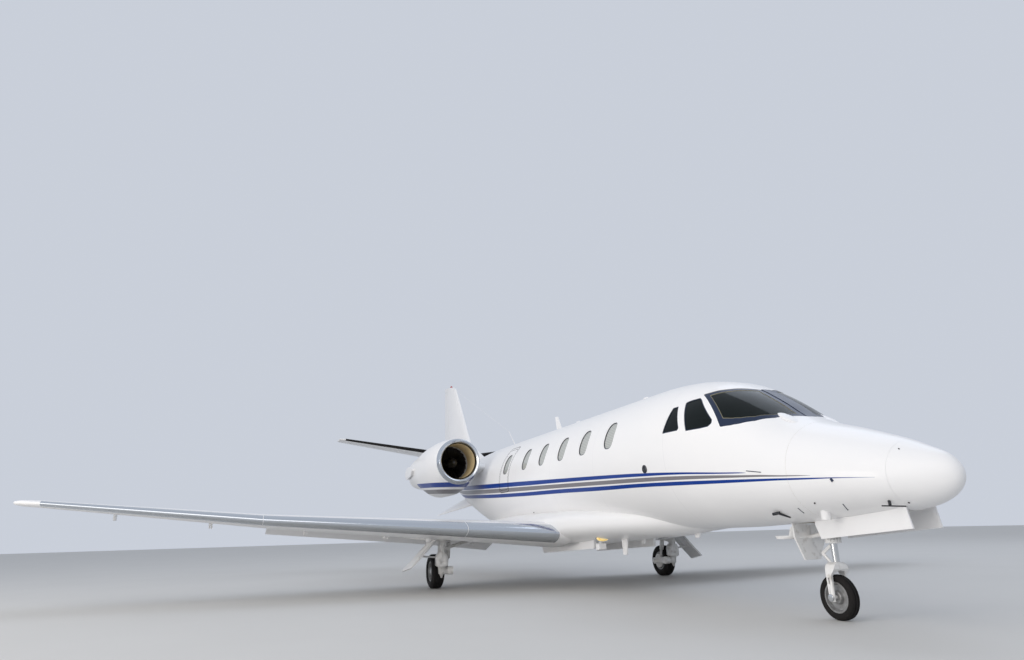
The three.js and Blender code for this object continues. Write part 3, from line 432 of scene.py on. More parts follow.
def bar(start, end, radius, tip=None, segments=24, rim=0):
    """A round bar between two places in mm: [station, y, z]. rim bevels its ends."""
    a, b = [Vector((at(s), y * MM, z * MM)) for s, y, z in (start, end)]
    bm = blank()
    turn = (b - a).to_track_quat("Z", "Y").to_matrix().to_4x4()
    bmesh.ops.create_cone(
        bm,
        cap_ends=True,
        segments=segments,
        radius1=radius * MM,
        radius2=(radius if tip is None else tip) * MM,
        depth=(b - a).length,
        matrix=Matrix.Translation((a + b) / 2) @ turn,
        calc_uvs=True,
    )
    if rim:
        ends = [e for e in bm.edges if any(len(f.verts) > 4 for f in e.link_faces)]
        bmesh.ops.bevel(
            bm, geom=ends, offset=rim * MM, segments=3, profile=0.5, affect="EDGES", material=-1
        )
    return bm


def turned(profile, centre, axis, segments=64):
    """A profile of [distance along, radius] in mm, turned about an axis through a centre."""
    bm = blank()
    axis = Vector(axis)
    out = Vector((1, 0, 0)) if axis.z else Vector((0, 0, 1))
    points = [bm.verts.new(axis * along * MM + out * r * MM) for along, r in profile]
    edges = [bm.edges.new(pair) for pair in zip(points, points[1:])]
    bmesh.ops.spin(
        bm, geom=points + edges, cent=(0, 0, 0), axis=axis, angle=2 * math.pi, steps=segments,
        use_merge=True,
    )
    bmesh.ops.remove_doubles(bm, verts=bm.verts, dist=WELD)
    station, y, z = centre
    bmesh.ops.translate(bm, verts=bm.verts, vec=(at(station), y * MM, z * MM))
    bmesh.ops.recalc_face_normals(bm, faces=bm.faces)
    return bm


def mirrored(bm):
    """A copy of a port piece for the starboard side."""
    other = bm.copy()
    bmesh.ops.scale(other, verts=other.verts, vec=(1, -1, 1))
    bmesh.ops.reverse_faces(other, faces=other.faces)
    return other


def piece(name, bm, material, body, nodes=(), sharp=32):
    """A finished piece: smooth except at corners, riding on a body, in place of solids."""
    mesh = bpy.data.meshes.new(name)
    bm.to_mesh(mesh)
    bm.free()
    mesh.materials.append(material)
    mesh.polygons.foreach_set("use_smooth", [True] * len(mesh.polygons))
    mesh.set_sharp_from_angle(angle=math.radians(sharp))
    made = bpy.data.objects.new(name, mesh)
    scene.collection.objects.link(made)
    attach(made, body)
    if nodes:
        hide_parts(*nodes)
    return made


def pair(name, bm, material, body, slot, nodes=()):
    """The same piece on both sides. A body or node named with {} takes the side's word."""
    for word, each in (("right", mirrored(bm)), ("left", bm)):
        named = [node.format(word) for node in nodes]
        piece(f"{name}_{word}", each, material, body.format(word), named)


def copied(node):
    """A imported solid's own mesh, copied and welded, to be shaded as a smooth part."""
    bm = bmesh.new()
    bm.from_mesh(frame["nodes"][node].data)
    bmesh.ops.remove_doubles(bm, verts=bm.verts, dist=WELD)
    return bm


print("tools ready: skins of", HULL_TURNS, "and foils of", FOIL_TURNS, "sides")

# %% [markdown]
# ## Paint
#
# The jet wears two-part polyurethane paint over primed aluminium, sprayed and polished: a
# white base with three swept stripes, blue, grey and blue. The gloss comes from the clear
# resin at the top, so the shader has a coat over a slightly rougher base. A very slow
# mottling keeps it from looking like plastic, and thin lines mark the seams of the skins.
# The stripes' centre lines and widths are curves over the station.

# %% White paint and stripes
PAINT = {
    "Roughness": 0.3, "IOR": 1.45, "Specular_IOR_Level": 0.2,
    "Coat_Weight": 0.18, "Coat_Roughness": 0.05,
}
WHITE, WHITE_SHADE = "#F3F2F1", "#E9E9EA"
BLUE, GREY = "#00368A", "#7C7A7E"
# Lines at the laps of the skins: colour, strength, half width in metres, stations
SEAM, SEAM_SHOWS, SEAM_HALF = "#A9ABAF", 0.25, 0.002
SEAMS = [2960, 4720, 6230, 7780, 10900, 12300, 13700]
# The length and height that the stripes' curves span, and how soft an edge is, in metres
CURVE_LENGTH, CURVE_HEIGHT = 16.0, 4.0
EDGE = 0.003
# Under this half width, in metres, a stripe has run out
STRIPE_ENDS = 0.0008
# Each stripe: colour, then [station, centre z, width] in mm
STRIPES = [
    (BLUE, [
        [1740, 1411, 0], [1820, 1417, 10], [2090, 1437, 15], [2715, 1487, 24], [3530, 1536, 39],
        [4560, 1586, 49], [5860, 1642, 59], [7550, 1712, 76], [10000, 1817, 88],
        [12000, 1925, 80], [13800, 2085, 50], [15200, 2270, 0],
    ]),
    (GREY, [
        [1040, 1328, 0], [1160, 1336, 8], [1370, 1350, 13], [1590, 1368, 19], [1830, 1383, 23],
        [2105, 1401, 30], [2740, 1438, 41], [3560, 1476, 49], [4600, 1515, 53], [5900, 1563, 60],
        [7580, 1623, 71], [10000, 1717, 80], [12000, 1828, 72], [13800, 2010, 44], [15200, 2220, 0],
    ]),
    (BLUE, [
        [420, 1264, 0], [880, 1293, 9], [1170, 1307, 17], [1375, 1318, 20], [1600, 1328, 25],
        [2130, 1351, 35], [2770, 1379, 43], [3610, 1413, 46], [4660, 1443, 55], [5960, 1486, 61],
        [7640, 1531, 63], [10000, 1622, 70], [12000, 1738, 62], [13800, 1940, 38], [15200, 2170, 0],
    ]),
]


def per_metre(size_mm):
    """The scale of a pattern whose features are this far apart."""
    return 1000 / size_mm


def mottled(tree, place):
    """The white base: a slow, weak drift between two whites, as wide as a panel."""
    drift = add(tree, "TexNoise", Vector=place, Scale=per_metre(1500), Detail=3.0)["Fac"]
    return add(tree, "MixRGB", Fac=drift, Color1=linear(WHITE), Color2=linear(WHITE_SHADE))["Color"]


def rippled(tree, shader, place, spacing, strength, depth):
    """Fine waves in a surface, spacing mm apart, that break up its highlights."""
    wave = add(tree, "TexNoise", Vector=place, Scale=per_metre(spacing), Detail=2.0)["Fac"]
    bump = add(tree, "Bump", Strength=strength, Distance=depth, Height=wave)["Normal"]
    tree.links.new(bump, shader.inputs["Normal"])


def sprayed(tree, shader, place, colour):
    """Puts a colour on, with the waviness of sprayed paint, drawn at 60 mm so that it shows."""
    tree.links.new(colour, shader.inputs["Base Color"])
    rippled(tree, shader, place, 60, 0.03, 0.01)


def within(tree, value, centre, half):
    """1 where value is within half of centre, with an edge a few mm soft."""
    away = add(tree, "Math", {"operation": "SUBTRACT"}, s0=value, s1=centre)["Value"]
    away = add(tree, "Math", {"operation": "ABSOLUTE"}, s0=away)["Value"]
    room = add(tree, "Math", {"operation": "SUBTRACT"}, s0=half, s1=away)["Value"]
    room = add(tree, "Math", {"operation": "DIVIDE"}, s0=room, s1=EDGE)["Value"]
    return add(tree, "Math", {"operation": "ADD", "use_clamp": True}, s0=room, s1=0.5)["Value"]


def curved(tree, share, points):
    """A height along the body, in metres, on a curve through [station, height] in mm."""
    value = add(tree, "FloatCurve", Value=share)["Value"]
    curve = value.node.mapping.curves[0]
    placed = [(s * MM / CURVE_LENGTH, h * MM / CURVE_HEIGHT) for s, h in points]
    while len(curve.points) < len(placed):
        curve.points.new(0, 0)
    for point, spot in zip(curve.points, placed):
        point.location = spot
        point.handle_type = "AUTO_CLAMPED"
    value.node.mapping.update()
    return add(tree, "Math", {"operation": "MULTIPLY"}, s0=value, s1=CURVE_HEIGHT)["Value"]


def seams(tree, along, colour, stations):
    """Thin darker lines where one skin laps another."""
    for station in stations:
        line = within(tree, along, at(station), SEAM_HALF)
        line = add(tree, "Math", {"operation": "MULTIPLY"}, s0=line, s1=SEAM_SHOWS)["Value"]
        colour = add(tree, "MixRGB", Fac=line, Color1=colour, Color2=linear(SEAM))["Color"]
    return colour


paint, tree, shader, place = new_material("white polyurethane paint", WHITE, **PAINT)
sprayed(tree, shader, place, mottled(tree, place))

striped_paint, tree, shader, place = new_material(
    "white polyurethane paint with stripes", WHITE, **PAINT
)
axes = add(tree, "SeparateXYZ", Vector=place)
colour = seams(tree, axes["X"], mottled(tree, place), SEAMS)
share = add(tree, "Math", {"operation": "SUBTRACT"}, s0=NOSE_X, s1=axes["X"])["Value"]
share = add(tree, "Math", {"operation": "DIVIDE"}, s0=share, s1=CURVE_LENGTH)["Value"]
for stripe_colour, rows in STRIPES:
    centre = curved(tree, share, [[s, z] for s, z, _ in rows])
    half = curved(tree, share, [[s, width / 2] for s, _, width in rows])
    mask = within(tree, axes["Z"], centre, half)
    there = add(tree, "Math", {"operation": "GREATER_THAN"}, s0=half, s1=STRIPE_ENDS)["Value"]
    mask = add(tree, "Math", {"operation": "MULTIPLY"}, s0=mask, s1=there)["Value"]
    colour = add(tree, "MixRGB", Fac=mask, Color1=colour, Color2=linear(stripe_colour))["Color"]
sprayed(tree, shader, place, colour)

cowl_paint, tree, shader, place = new_material(
    "white polyurethane paint with cowl bands", WHITE, **PAINT
)
axes = add(tree, "SeparateXYZ", Vector=place)
colour = mottled(tree, place)
# The bands run round the cowl's lower half and fall towards its lip by this much for each mm,
# from the station where their heights are given
BAND_FALL, BAND_REAR = 0.051, 11800
# Each band: colour, centre z, width in mm
BANDS = [(BLUE, 1952, 92), (GREY, 1820, 86)]
rearmost = BAND_FALL * at(BAND_REAR)
sloped = add(tree, "Math", {"operation": "MULTIPLY_ADD"}, s0=axes["X"], s1=-BAND_FALL, s2=rearmost)
sloped = add(tree, "Math", {"operation": "SUBTRACT"}, s0=axes["Z"], s1=sloped["Value"])["Value"]
for band_colour, centre, width in BANDS:
    mask = within(tree, sloped, centre * MM, width * MM / 2)
    colour = add(tree, "MixRGB", Fac=mask, Color1=colour, Color2=linear(band_colour))["Color"]
sprayed(tree, shader, place, colour)
print("paints", [m.name for m in bpy.data.materials])

# %% [markdown]
# ## Metals, glass, rubber and cloth
#
# Bare metal shows on the leading edges, the inlet lips, the fans and the gear. Polished
# aluminium is smooth with faint rolling lines; chrome is smoother still; the engine's hot
# parts are heat stained. Tyres are carbon-black rubber, dusty and dull. Each material takes
# one pattern, sized in mm, and that pattern drives its colour, its roughness or both.

# %% Patterned materials
PATTERNS = {"TexNoise": "Fac", "TexVoronoi": "Distance", "TexWave": "Fac"}


def patterned(
    name, base, spacing, kind="TexNoise", detail=None, tones=(), fade=(), rough=(), **sockets
):
    """A material whose pattern, spacing mm apart, blends two tones, two roughnesses or both."""
    made, tree, shader, place = new_material(name, base, **sockets)
    fine = {} if detail is None else {"Detail": detail}
    share = add(tree, kind, Vector=place, Scale=per_metre(spacing), **fine)[PATTERNS[kind]]
    if fade:
        share = add(tree, "MapRange", Value=share, From_Min=fade[0], From_Max=fade[1])["Result"]
    if tones:
        first, second = [linear(tone) for tone in tones]
        mixed = add(tree, "MixRGB", Fac=share, Color1=first, Color2=second)["Color"]
        tree.links.new(mixed, shader.inputs["Base Color"])
    if rough:
        dull = add(tree, "MapRange", Value=share, To_Min=rough[0], To_Max=rough[1])["Result"]
        tree.links.new(dull, shader.inputs["Roughness"])
    return made


# %% Metals
# Buffed sheet: sharp reflections that blur a little in patches, so it isn't a perfect mirror
polished = patterned(
    "polished aluminium", "#C9CED4", 90, detail=5.0, rough=(0.1, 0.24), Metallic=1.0, Roughness=0.16
)
# Plated and ground: the hardest glint on the jet, under a thin film of oil
chrome = patterned(
    "hard chrome", "#D9DBDD", 25, detail=3.0, rough=(0.04, 0.16), Metallic=1.0, Roughness=0.07
)
# Milled: a dark grey metal with a soft, uneven sheen
titanium = patterned(
    "machined titanium", "#4A4B4E", 14, detail=4.0, tones=("#3C3D40", "#5A5B5E"),
    rough=(0.28, 0.45), Metallic=1.0, Roughness=0.35,
)
# Rolled and run hot: brown and grey stains break up its shine
hot_steel = patterned(
    "heat-stained steel", "#6E665E", 120, detail=6.0, tones=("#4E4A46", "#8C8073"), Metallic=1.0,
    Roughness=0.4,
)
# Punched sheet: small dark holes in a dull tan face. They are 1.5 mm apart on the real sheet and
# are drawn 16 mm apart so that they show
liner = patterned(
    "perforated inlet liner", "#C8B48A", 16, "TexVoronoi", tones=("#8F7F5E", "#CDBA92"),
    fade=(0.1, 0.3), Roughness=0.55,
)
# Brushed and sprayed on forgings: an even satin white with a few patches of grime
gear_paint = patterned(
    "white gear enamel", "#E9E8E6", 70, detail=6.0, tones=("#EBEAE8", "#B3ADA4"), fade=(0.55, 0.85),
    Roughness=0.35, Coat_Weight=0.4, Coat_Roughness=0.12,
)
# Sprayed over cast metal: a half-metallic grey, darkened by brake dust
wheel_paint = patterned(
    "grey wheel enamel", "#A7A9AB", 40, detail=6.0, tones=("#B9BBBD", "#6D6964"), Metallic=0.6,
    Roughness=0.4,
)

# %% Rubber
# Moulded: dull black with a thin veil of dust, and pores that kill the highlight. The pores are
# drawn 6 mm apart so that they show
rubber, tree, shader, place = new_material(
    "carbon-black tyre rubber", "#161515", Roughness=0.8, Specular_IOR_Level=0.3
)
dust = add(tree, "TexNoise", Vector=place, Scale=per_metre(55), Detail=6.0)["Fac"]
dusty = add(tree, "MixRGB", Fac=dust, Color1=linear("#100F0F"), Color2=linear("#1F1C1B"))["Color"]
tree.links.new(dusty, shader.inputs["Base Color"])
rippled(tree, shader, place, 6, 0.15, 0.002)

# %% Glass, mask and cabin
# Laminated: clear but smoky green, so that the cockpit shows darkly behind a faint reflection
cockpit_pane = patterned(
    "laminated cockpit glass", "#16261F", 140, detail=3.0, tones=("#1B2C2B", "#283D3B"),
    Roughness=0.02, IOR=1.3, Transmission_Weight=0.88, Specular_IOR_Level=0.15,
)
# Baked enamel round the glass: almost black, with a soft sheen and a little wear
black_mask = patterned(
    "blue-black windshield mask", "#16243C", 80, detail=4.0, tones=("#12203A", "#1D2D48"),
    Roughness=0.35, Specular_IOR_Level=0.3, Coat_Weight=0.15, Coat_Roughness=0.08,
)
# Embossed vinyl on foam: a warm matt grain on the inside of walls and doors
lining = patterned(
    "vinyl cabin lining", "#CBC4B6", 8, "TexVoronoi", tones=("#D2CBBD", "#B9B1A1"), Roughness=0.65
)
# Folded cloth under acrylic: pale level pleats behind a glossy pane. The folds are not shaped:
# their shade and light are painted as level bands of a darker and a lighter grey, drawn 24 mm
# apart, coarser than real pleats, so that they show
shade, tree, shader, place = new_material(
    "pleated shade behind acrylic", "#C3C5C8", Roughness=0.6, Coat_Weight=1.0, Coat_Roughness=0.03
)
# Painted shade and painted light of the pleats: a sine of the height that swings between a darker
# and a lighter grey
up = add(tree, "SeparateXYZ", Vector=place)["Z"]
waves = 2 * math.pi * per_metre(24)
pleat_light_and_shade = add(tree, "Math", {"operation": "MULTIPLY"}, s0=up, s1=waves)["Value"]
pleat_light_and_shade = add(tree, "Math", {"operation": "SINE"}, s0=pleat_light_and_shade)["Value"]
pleat_light_and_shade = add(tree, "MapRange", Value=pleat_light_and_shade, From_Min=-1.0)["Result"]
painted_fold_shading = add(tree, "MixRGB", Fac=pleat_light_and_shade, Color1=linear("#999B95"), Color2=linear("#C0C2BD"))["Color"]
tree.links.new(painted_fold_shading, shader.inputs["Base Color"])
print("materials", len(bpy.data.materials))

# %% [markdown]
# ## Fuselage
#
# The pressurised tube is a circle in section, drawn down to a rounded nose and out to a
# slim tail cone. It is made in four parts, as the real one: radome, nose, cabin and tail
# cone. The cabin is a hollow wall, so that windows, doors and hatch are cut through it.

# %% Fuselage skins
RADOME_JOINT, NOSE_JOINT, PRESSURE_BULKHEAD, TAIL_END = 420, 1300, 9300, 15450
GROOVE = 0.6
CABIN_WALL, TAIL_WALL = 80, 30
# Sections bunch towards the nose by this power of the station
HULL_BEND = 0.5
# Rows along the nose, by the root of the station, and along the rest, in mm
NOSE_STEP, HULL_STEP = 0.9, 110
# A section is never smaller than this, and a layer's inner cutter runs on past its ends
SMALLEST, OVERRUN = 0.5, 40


def hull_point(row, turn, grow=0.0, y=0.0):
    """A place on a section: turn 0 is to port, a quarter turn is the crown."""
    station, z, wide, up, down, full = row
    rise = math.sin(turn)

    def reach(value, size):
        return math.copysign(abs(value) ** (2 / full), value) * max(size + grow, SMALLEST)

    across = y + reach(math.cos(turn), wide)
    return Vector((at(station), across * MM, (z + reach(rise, up if rise > 0 else down)) * MM))


def hull(start, end, grow=0.0, step=HULL_STEP):
    """A closed length of the fuselage, grown by a distance in mm."""
    if start < NOSE_JOINT:
        roots = spread(math.sqrt(start), math.sqrt(end), NOSE_STEP)
        stations = [root * root for root in roots]
    else:
        stations = spread(start, end, step)
    rows = [row_at(HULL, s, HULL_BEND) for s in stations]
    return capped(skin(rows, turns(HULL_TURNS), lambda row, turn: hull_point(row, turn, grow)))


def wall(outer, inner, start, end):
    """A layer of the fuselage between two depths under its skin, open at its ends."""
    return carve(hull(start, end, -outer), hull(start - OVERRUN, end + OVERRUN, -inner))


def inlay(top, bottom, start, end, cutter):
    """What lies inside a cutter, between two depths under the skin and two stations."""
    return carve(wall(top, bottom, start, end), cutter, operation="INTERSECT")


WINDOW_Z, WINDOW_WIDE, WINDOW_HIGH, WINDOW_FULLNESS = 2127, 264, 364, 2.8
CABIN_WINDOWS = [4290, 5070, 5845, 6620, 7395, 8365]
# A window's cutter starts this far from the middle and is this long, in metres
PLUG_FROM, PLUG_LONG = 0.5, 0.6
ENTRY = [[3290, 1100], [3970, 1100], [3970, 2420], [3290, 2420]]
HATCH = [[8140, 1610], [8655, 1610], [8655, 2460], [8140, 2460]]
BAGGAGE = [[10000, 1290], [10740, 1290], [10740, 1850], [10000, 1850]]
# Each opening: outline in [station, z], from y, to y, corner radius in metres
OPENINGS = {
    "entry_door": (ENTRY, 300, 1200, 0.1),
    "hatch": (HATCH, -1200, -300, 0.09),
    "baggage_door": (BAGGAGE, 300, 1200, 0.05),
}
# The nose gear's bay in [station, y], and its heights
NOSE_BAY, BAY_HEIGHTS = [[480, -150], [1750, -150], [1750, 150], [480, 150]], (600, 1200)
# Windshield in [station, y] with its heights; side panes in [station, z] with their distances out
PANE_HEIGHTS, PANES_OUT = (1890, 2640), (450, 1100)
WINDSHIELD = [
    [1500, 48], [2110, 44], [2170, 160], [2293, 358], [2430, 508], [2507, 570],
    [2071, 730], [1956, 688], [1855, 638], [1727, 547], [1607, 388], [1545, 230],
]
SIDE_FRONT = [
    [2690, 2300], [2640, 2316], [2508, 2329], [2462, 2298], [2198, 2024],
    [2192, 1985], [2230, 1952], [2337, 1945], [2560, 1947],
]
SIDE_REAR = [[2790, 2276], [2880, 2268], [2905, 2190], [2975, 1972], [2700, 1972], [2682, 2000]]


def opening(name, inset=0, rounding=None):
    """The cutter of a door or hatch, drawn in by inset in mm."""
    outline, low, high, corner = OPENINGS[name]
    return side_plate(outline, low, high, inset=inset * MM, rounding=rounding or corner)


def span_of(name, margin=100):
    """The stations before and after an opening."""
    stations = [corner[0] for corner in OPENINGS[name][0]]
    return min(stations) - margin, max(stations) + margin


def window_plugs(side, inset=0):
    """Oval cutters for every cabin window on one side."""
    plugs = []
    for station in CABIN_WINDOWS:
        bm = blank()
        bmesh.ops.create_circle(bm, cap_ends=True, radius=1, segments=64)
        for v in bm.verts:
            across, tall = [
                math.copysign(abs(part) ** (2 / WINDOW_FULLNESS), part) * (size / 2 - inset) * MM
                for part, size in zip(v.co, (WINDOW_WIDE, WINDOW_HIGH))
            ]
            v.co = (across, tall, 0)
        stood = Matrix.Rotation(math.pi / 2, 3, "X")
        bmesh.ops.rotate(bm, verts=bm.verts, cent=(0, 0, 0), matrix=stood)
        bmesh.ops.translate(bm, verts=bm.verts, vec=(at(station), side * PLUG_FROM, WINDOW_Z * MM))
        plugs.append(pushed(bm, (0, side * PLUG_LONG, 0)))
    return joined(*plugs)


def windshield_plug(side, inset=0):
    """The cutter of one half of the windshield."""
    outline = [[s, side * y] for s, y in WINDSHIELD]
    return plan_plate(outline, *PANE_HEIGHTS, inset=inset * MM, rounding=0.012)


def side_plugs(side, inset=0):
    """Cutters for the two side panes of the cockpit."""
    low, high = sorted(side * y for y in PANES_OUT)
    return joined(*[
        side_plate(outline, low, high, inset=inset * MM, rounding=0.01)
        for outline in (SIDE_FRONT, SIDE_REAR)
    ])


# %% Cabin, nose and tail cone
# The hollows of the cabin and of the tail, whose sections are further apart
HOLLOW_FRONT, HOLLOW_REAR = 1380, 9220
BULKHEAD_THICK, TAIL_HOLLOW_REAR, TAIL_STEP = 40, 14700, 160
cuts = [plan_plate(NOSE_BAY, *BAY_HEIGHTS), opening("entry_door"), opening("hatch")]
for side in SIDES.values():
    cuts += [windshield_plug(side), side_plugs(side), window_plugs(side)]
cabin = hull(NOSE_JOINT + GROOVE, PRESSURE_BULKHEAD - GROOVE)
cabin = carve(cabin, hull(HOLLOW_FRONT, HOLLOW_REAR, -CABIN_WALL))
cabin = carve(cabin, *cuts)
# Faces nearer to the middle than this share of the section are lined
LINED = 0.975


def lined(made, finish):
    """Gives a second finish to the faces that lie under the skin: the cabin side of a wall."""
    made.data.materials.append(finish)
    for face in made.data.polygons:
        _, middle, wide, up, down, full = row_at(HULL, (NOSE_X - face.center.x) / MM, HULL_BEND)
        high = face.center.z / MM - middle
        tall = up if high > 0 else down
        if (abs(face.center.y) / MM / wide) ** full + (abs(high) / tall) ** full < LINED ** full:
            face.material_index = 1


tube = piece("cabin_skin", cabin, striped_paint, "airframe", ["fuselage_shell"])
lined(tube, lining)
nose = hull(RADOME_JOINT + GROOVE, NOSE_JOINT - GROOVE)
nose = carve(nose, plan_plate(NOSE_BAY, *BAY_HEIGHTS))
piece("nose_skin", nose, striped_paint, "airframe", ["nose_section"])
radome = hull(0, RADOME_JOINT - GROOVE)
piece("radome_skin", radome, striped_paint, "airframe", ["radome"])
tail = hull(PRESSURE_BULKHEAD + GROOVE, TAIL_END, step=TAIL_STEP)
hollow = hull(PRESSURE_BULKHEAD + BULKHEAD_THICK, TAIL_HOLLOW_REAR, -TAIL_WALL, TAIL_STEP)
tail = carve(carve(tail, hollow), opening("baggage_door"))
piece("tail_cone_skin", tail, striped_paint, "airframe", ["tailcone"])

# %% [markdown]
# ## Doors and hatch
#
# Each door is the same skin, cut by the same outline drawn in by the width of its seal, so
# that it closes flush. The entry door drops to be the stair, and carries its treads.

# %% Doors
DOOR_GAP = 6
DOOR_SWING = math.radians(125)
# The stair's treads: heights on the shut door, ends, depth, thickness, and where a root stands
TREADS = (1400, 1780, 2120)
STAIR_FRONT, STAIR_REAR = 3380, 3880
TREAD_DEEP, TREAD_THICK, ROOT_OUT, ROOT_DOWN = 240, 26, 22, 20
# The cabin tube's radius and the height of its middle
TUBE_RADIUS, TUBE_Z = 920, 1780


def tread(z):
    """One tread. It lies level once the door hangs open."""
    inner = TUBE_RADIUS - CABIN_WALL
    foot = Vector((0, math.sqrt(inner ** 2 - (z - TUBE_Z) ** 2) + ROOT_OUT, z - ROOT_DOWN))
    slope = Vector((0, math.cos(DOOR_SWING), math.sin(DOOR_SWING)))
    across = Vector((0, -slope.z, slope.y)) * TREAD_THICK
    front = foot + slope * TREAD_DEEP
    corners = [foot, front, front + across, foot + across]
    return front_plate([[c.y, c.z] for c in corners], STAIR_FRONT, STAIR_REAR)


# Each door: piece, opening, thickness, body, node that it replaces
DOORS = [
    ("entry_door_skin", "entry_door", CABIN_WALL, "entry_door", "entry_door"),
    ("hatch_skin", "hatch", CABIN_WALL, "airframe", "exit_hatch"),
    ("baggage_door_skin", "baggage_door", TAIL_WALL, "baggage_door", "baggage_door"),
]
for name, hole, depth, body, node in DOORS:
    leaf = inlay(0, depth, *span_of(hole), opening(hole, DOOR_GAP))
    if hole == "hatch":
        leaf = carve(leaf, window_plugs(SIDES["right"]))
    if hole == "entry_door":
        leaf = joined(leaf, *[tread(z) for z in TREADS])
    lined(piece(name, leaf, striped_paint, body, [node]), lining)
print("doors", [row[0] for row in DOORS])

# %% [markdown]
# ## Glass
#
# The windshield is laminated glass with a dark mask round its edge and a tan seal inside
# that. The side panes are plain. Each cabin window is an acrylic pane with its pleated
# shade drawn, in a thin dark seal. Every piece is a layer of the fuselage cut by the pane's
# own outline, so it follows the curve of the skin.

# %% Glass
# Brushed-on polysulphide: a dull tan line between the mask and the glass
seal_tan = patterned(
    "tan sealant", "#8A8468", 12, detail=3.0, tones=("#77725A", "#989279"), Roughness=0.7
)
# Widths of the windshield's mask and seal, and half the width of the mask's band over the centre
# post: the post itself, and beside it a painted reflection of the sky in the glass
MASK_WIDE, SEAL_WIDE, POST_AND_REFLECTION_HALF = 46, 6, 126
# How far a frame stays inside its hole, and the widths of the frames
FIT, SIDE_FRAME, WINDOW_FRAME = 1, 10, 9
# Stations before and after the windshield, the side panes and the cabin windows
FRONT_SPAN, SIDE_SPAN, CABIN_SPAN = (1310, 2900), (2000, 3200), (4000, 8700)


def pane_plug(side, inset, post):
    """The outline of the clear glass: drawn in, and kept off the centre post and the painted
    reflection beside it.
    """
    strip = [[1400, 0], [2400, 0], [2400, side * post], [1400, side * post]]
    return carve(windshield_plug(side, inset), plan_plate(strip, 1800, 2700))


for word, side in SIDES.items():
    # The mask also covers the windshield's middle beyond the post, as a painted reflection of the
    # sky in the glass
    ring = carve(windshield_plug(side, FIT), pane_plug(side, MASK_WIDE, POST_AND_REFLECTION_HALF))
    mask = inlay(2, 26, *FRONT_SPAN, ring)
    piece(f"windshield_mask_{word}", mask, black_mask, "airframe")
    clear = MASK_WIDE + SEAL_WIDE, POST_AND_REFLECTION_HALF + SEAL_WIDE
    ring = carve(pane_plug(side, MASK_WIDE, POST_AND_REFLECTION_HALF), pane_plug(side, *clear))
    seal = inlay(4, 24, *FRONT_SPAN, ring)
    piece(f"windshield_seal_{word}", seal, seal_tan, "airframe")
    pane = inlay(7, 22, *FRONT_SPAN, pane_plug(side, *clear))
    node = f"windshield_{word}"
    piece(f"windshield_glass_{word}", pane, cockpit_pane, "airframe", [node])
    panes = inlay(7, 22, *SIDE_SPAN, side_plugs(side, SIDE_FRAME))
    node = f"cockpit_glass_{word}"
    piece(f"side_glass_{word}", panes, cockpit_pane, "airframe", [node])
    ring = carve(side_plugs(side, FIT), side_plugs(side, SIDE_FRAME))
    seals = inlay(3, 24, *SIDE_SPAN, ring)
    piece(f"side_glass_seal_{word}", seals, black_mask, "airframe")
    panes = inlay(12, 40, *CABIN_SPAN, window_plugs(side, WINDOW_FRAME))
    node = f"cabin_windows_{word}"
    piece(f"window_shades_{word}", panes, shade, "airframe", [node])
    ring = carve(window_plugs(side, FIT), window_plugs(side, WINDOW_FRAME))
    seals = inlay(4, 42, *CABIN_SPAN, ring)
    piece(f"window_seals_{word}", seals, black_mask, "airframe")

# %% The windshield's centre post
# The post wears the mask's blue-black, so that the post and the mask beside it make one dark band:
# partly the real post, partly a painted reflection of the sky in the glass
POST_FRONT, POST_REAR, POST_WIDE, POST_PROUD, POST_DEEP = 1496, 2122, 120, 4, 8


def post_point(row, across):
    """A place on the crown of the skin, a set distance to port of the middle."""
    station, z, wide, up, _, full = row
    rise = up * (1 - abs(across / wide) ** full) ** (1 / full)
    return Vector((at(station), across * MM, (z + rise + POST_PROUD) * MM))


post_rows = [row_at(HULL, s, HULL_BEND) for s in spread(POST_FRONT, POST_REAR, 40)]
post = skin(post_rows, spread(-POST_WIDE / 2, POST_WIDE / 2, 12), post_point)
post = thickened(post, POST_DEEP)
piece("windshield_centre_post", post, black_mask, "airframe")

# %% [markdown]
# ## Door seals and small fittings of the skin
#
# A door shuts on a rubber seal that fills the gap round it. The seal is a raised line in a
# thin layer of the skin, cut by the door's own outline, so that it keeps the gap's curve. The
# handle and the latches are turned bar, and a moulded fairing covers each rain nozzle.

# %% Seals, handle and latches


def skin_y(station, z):
    """How far out the skin is, in mm, at a station and a height."""
    _, middle, wide, up, down, full = row_at(HULL, station, HULL_BEND)
    share = abs(z - middle) / (up if z > middle else down)
    return wide * (1 - share ** full) ** (1 / full)


# How far a seal stands out of the skin and how deep it goes
SEAL_PROUD, SEAL_DEEP = 0.5, 8
# Seals: [piece, opening, drawn in, width, corner radius where it is its own]
SEALS = [
    ("entry_door_seal", "entry_door", 0.5, 8, None),
    ("hatch_seal", "hatch", 0.5, 9, None),
    ("baggage_door_seal", "baggage_door", 0.5, 7, None),
    ("hatch_frame_line", "hatch", 44, 7, 0.06),
]
for name, hole, inset, wide, rounding in SEALS:
    ring = carve(opening(hole, inset, rounding), opening(hole, inset + wide, rounding))
    line = inlay(-SEAL_PROUD, SEAL_DEEP, *span_of(hole), ring)
    piece(name, line, rubber, "airframe")
# The entry door's handle and lock: [front, rear, z, how proud, radius, bevel]
HANDLE = [(3400, 3530, 1720, 4, 9, 2), (3400, 3440, 1600, 2, 6, 1)]
handle = joined(*[
    bar([a, skin_y(a, z) + proud, z], [b, skin_y(b, z) + proud, z], radius, rim=rim)
    for a, b, z, proud, radius, rim in HANDLE
])
piece("entry_door_handle", handle, chrome, "entry_door")
LATCHES, LATCH_Z, LATCH_RADIUS = (10120, 10620), 1800, 18
latches = joined(*[
    bar([s, y - 6, LATCH_Z], [s, y + 2, LATCH_Z], LATCH_RADIUS, rim=1)
    for s, y in [(s, skin_y(s, LATCH_Z)) for s in LATCHES]
])
piece("baggage_latches", latches, chrome, "baggage_door")
print("seals and lines", len(SEALS))

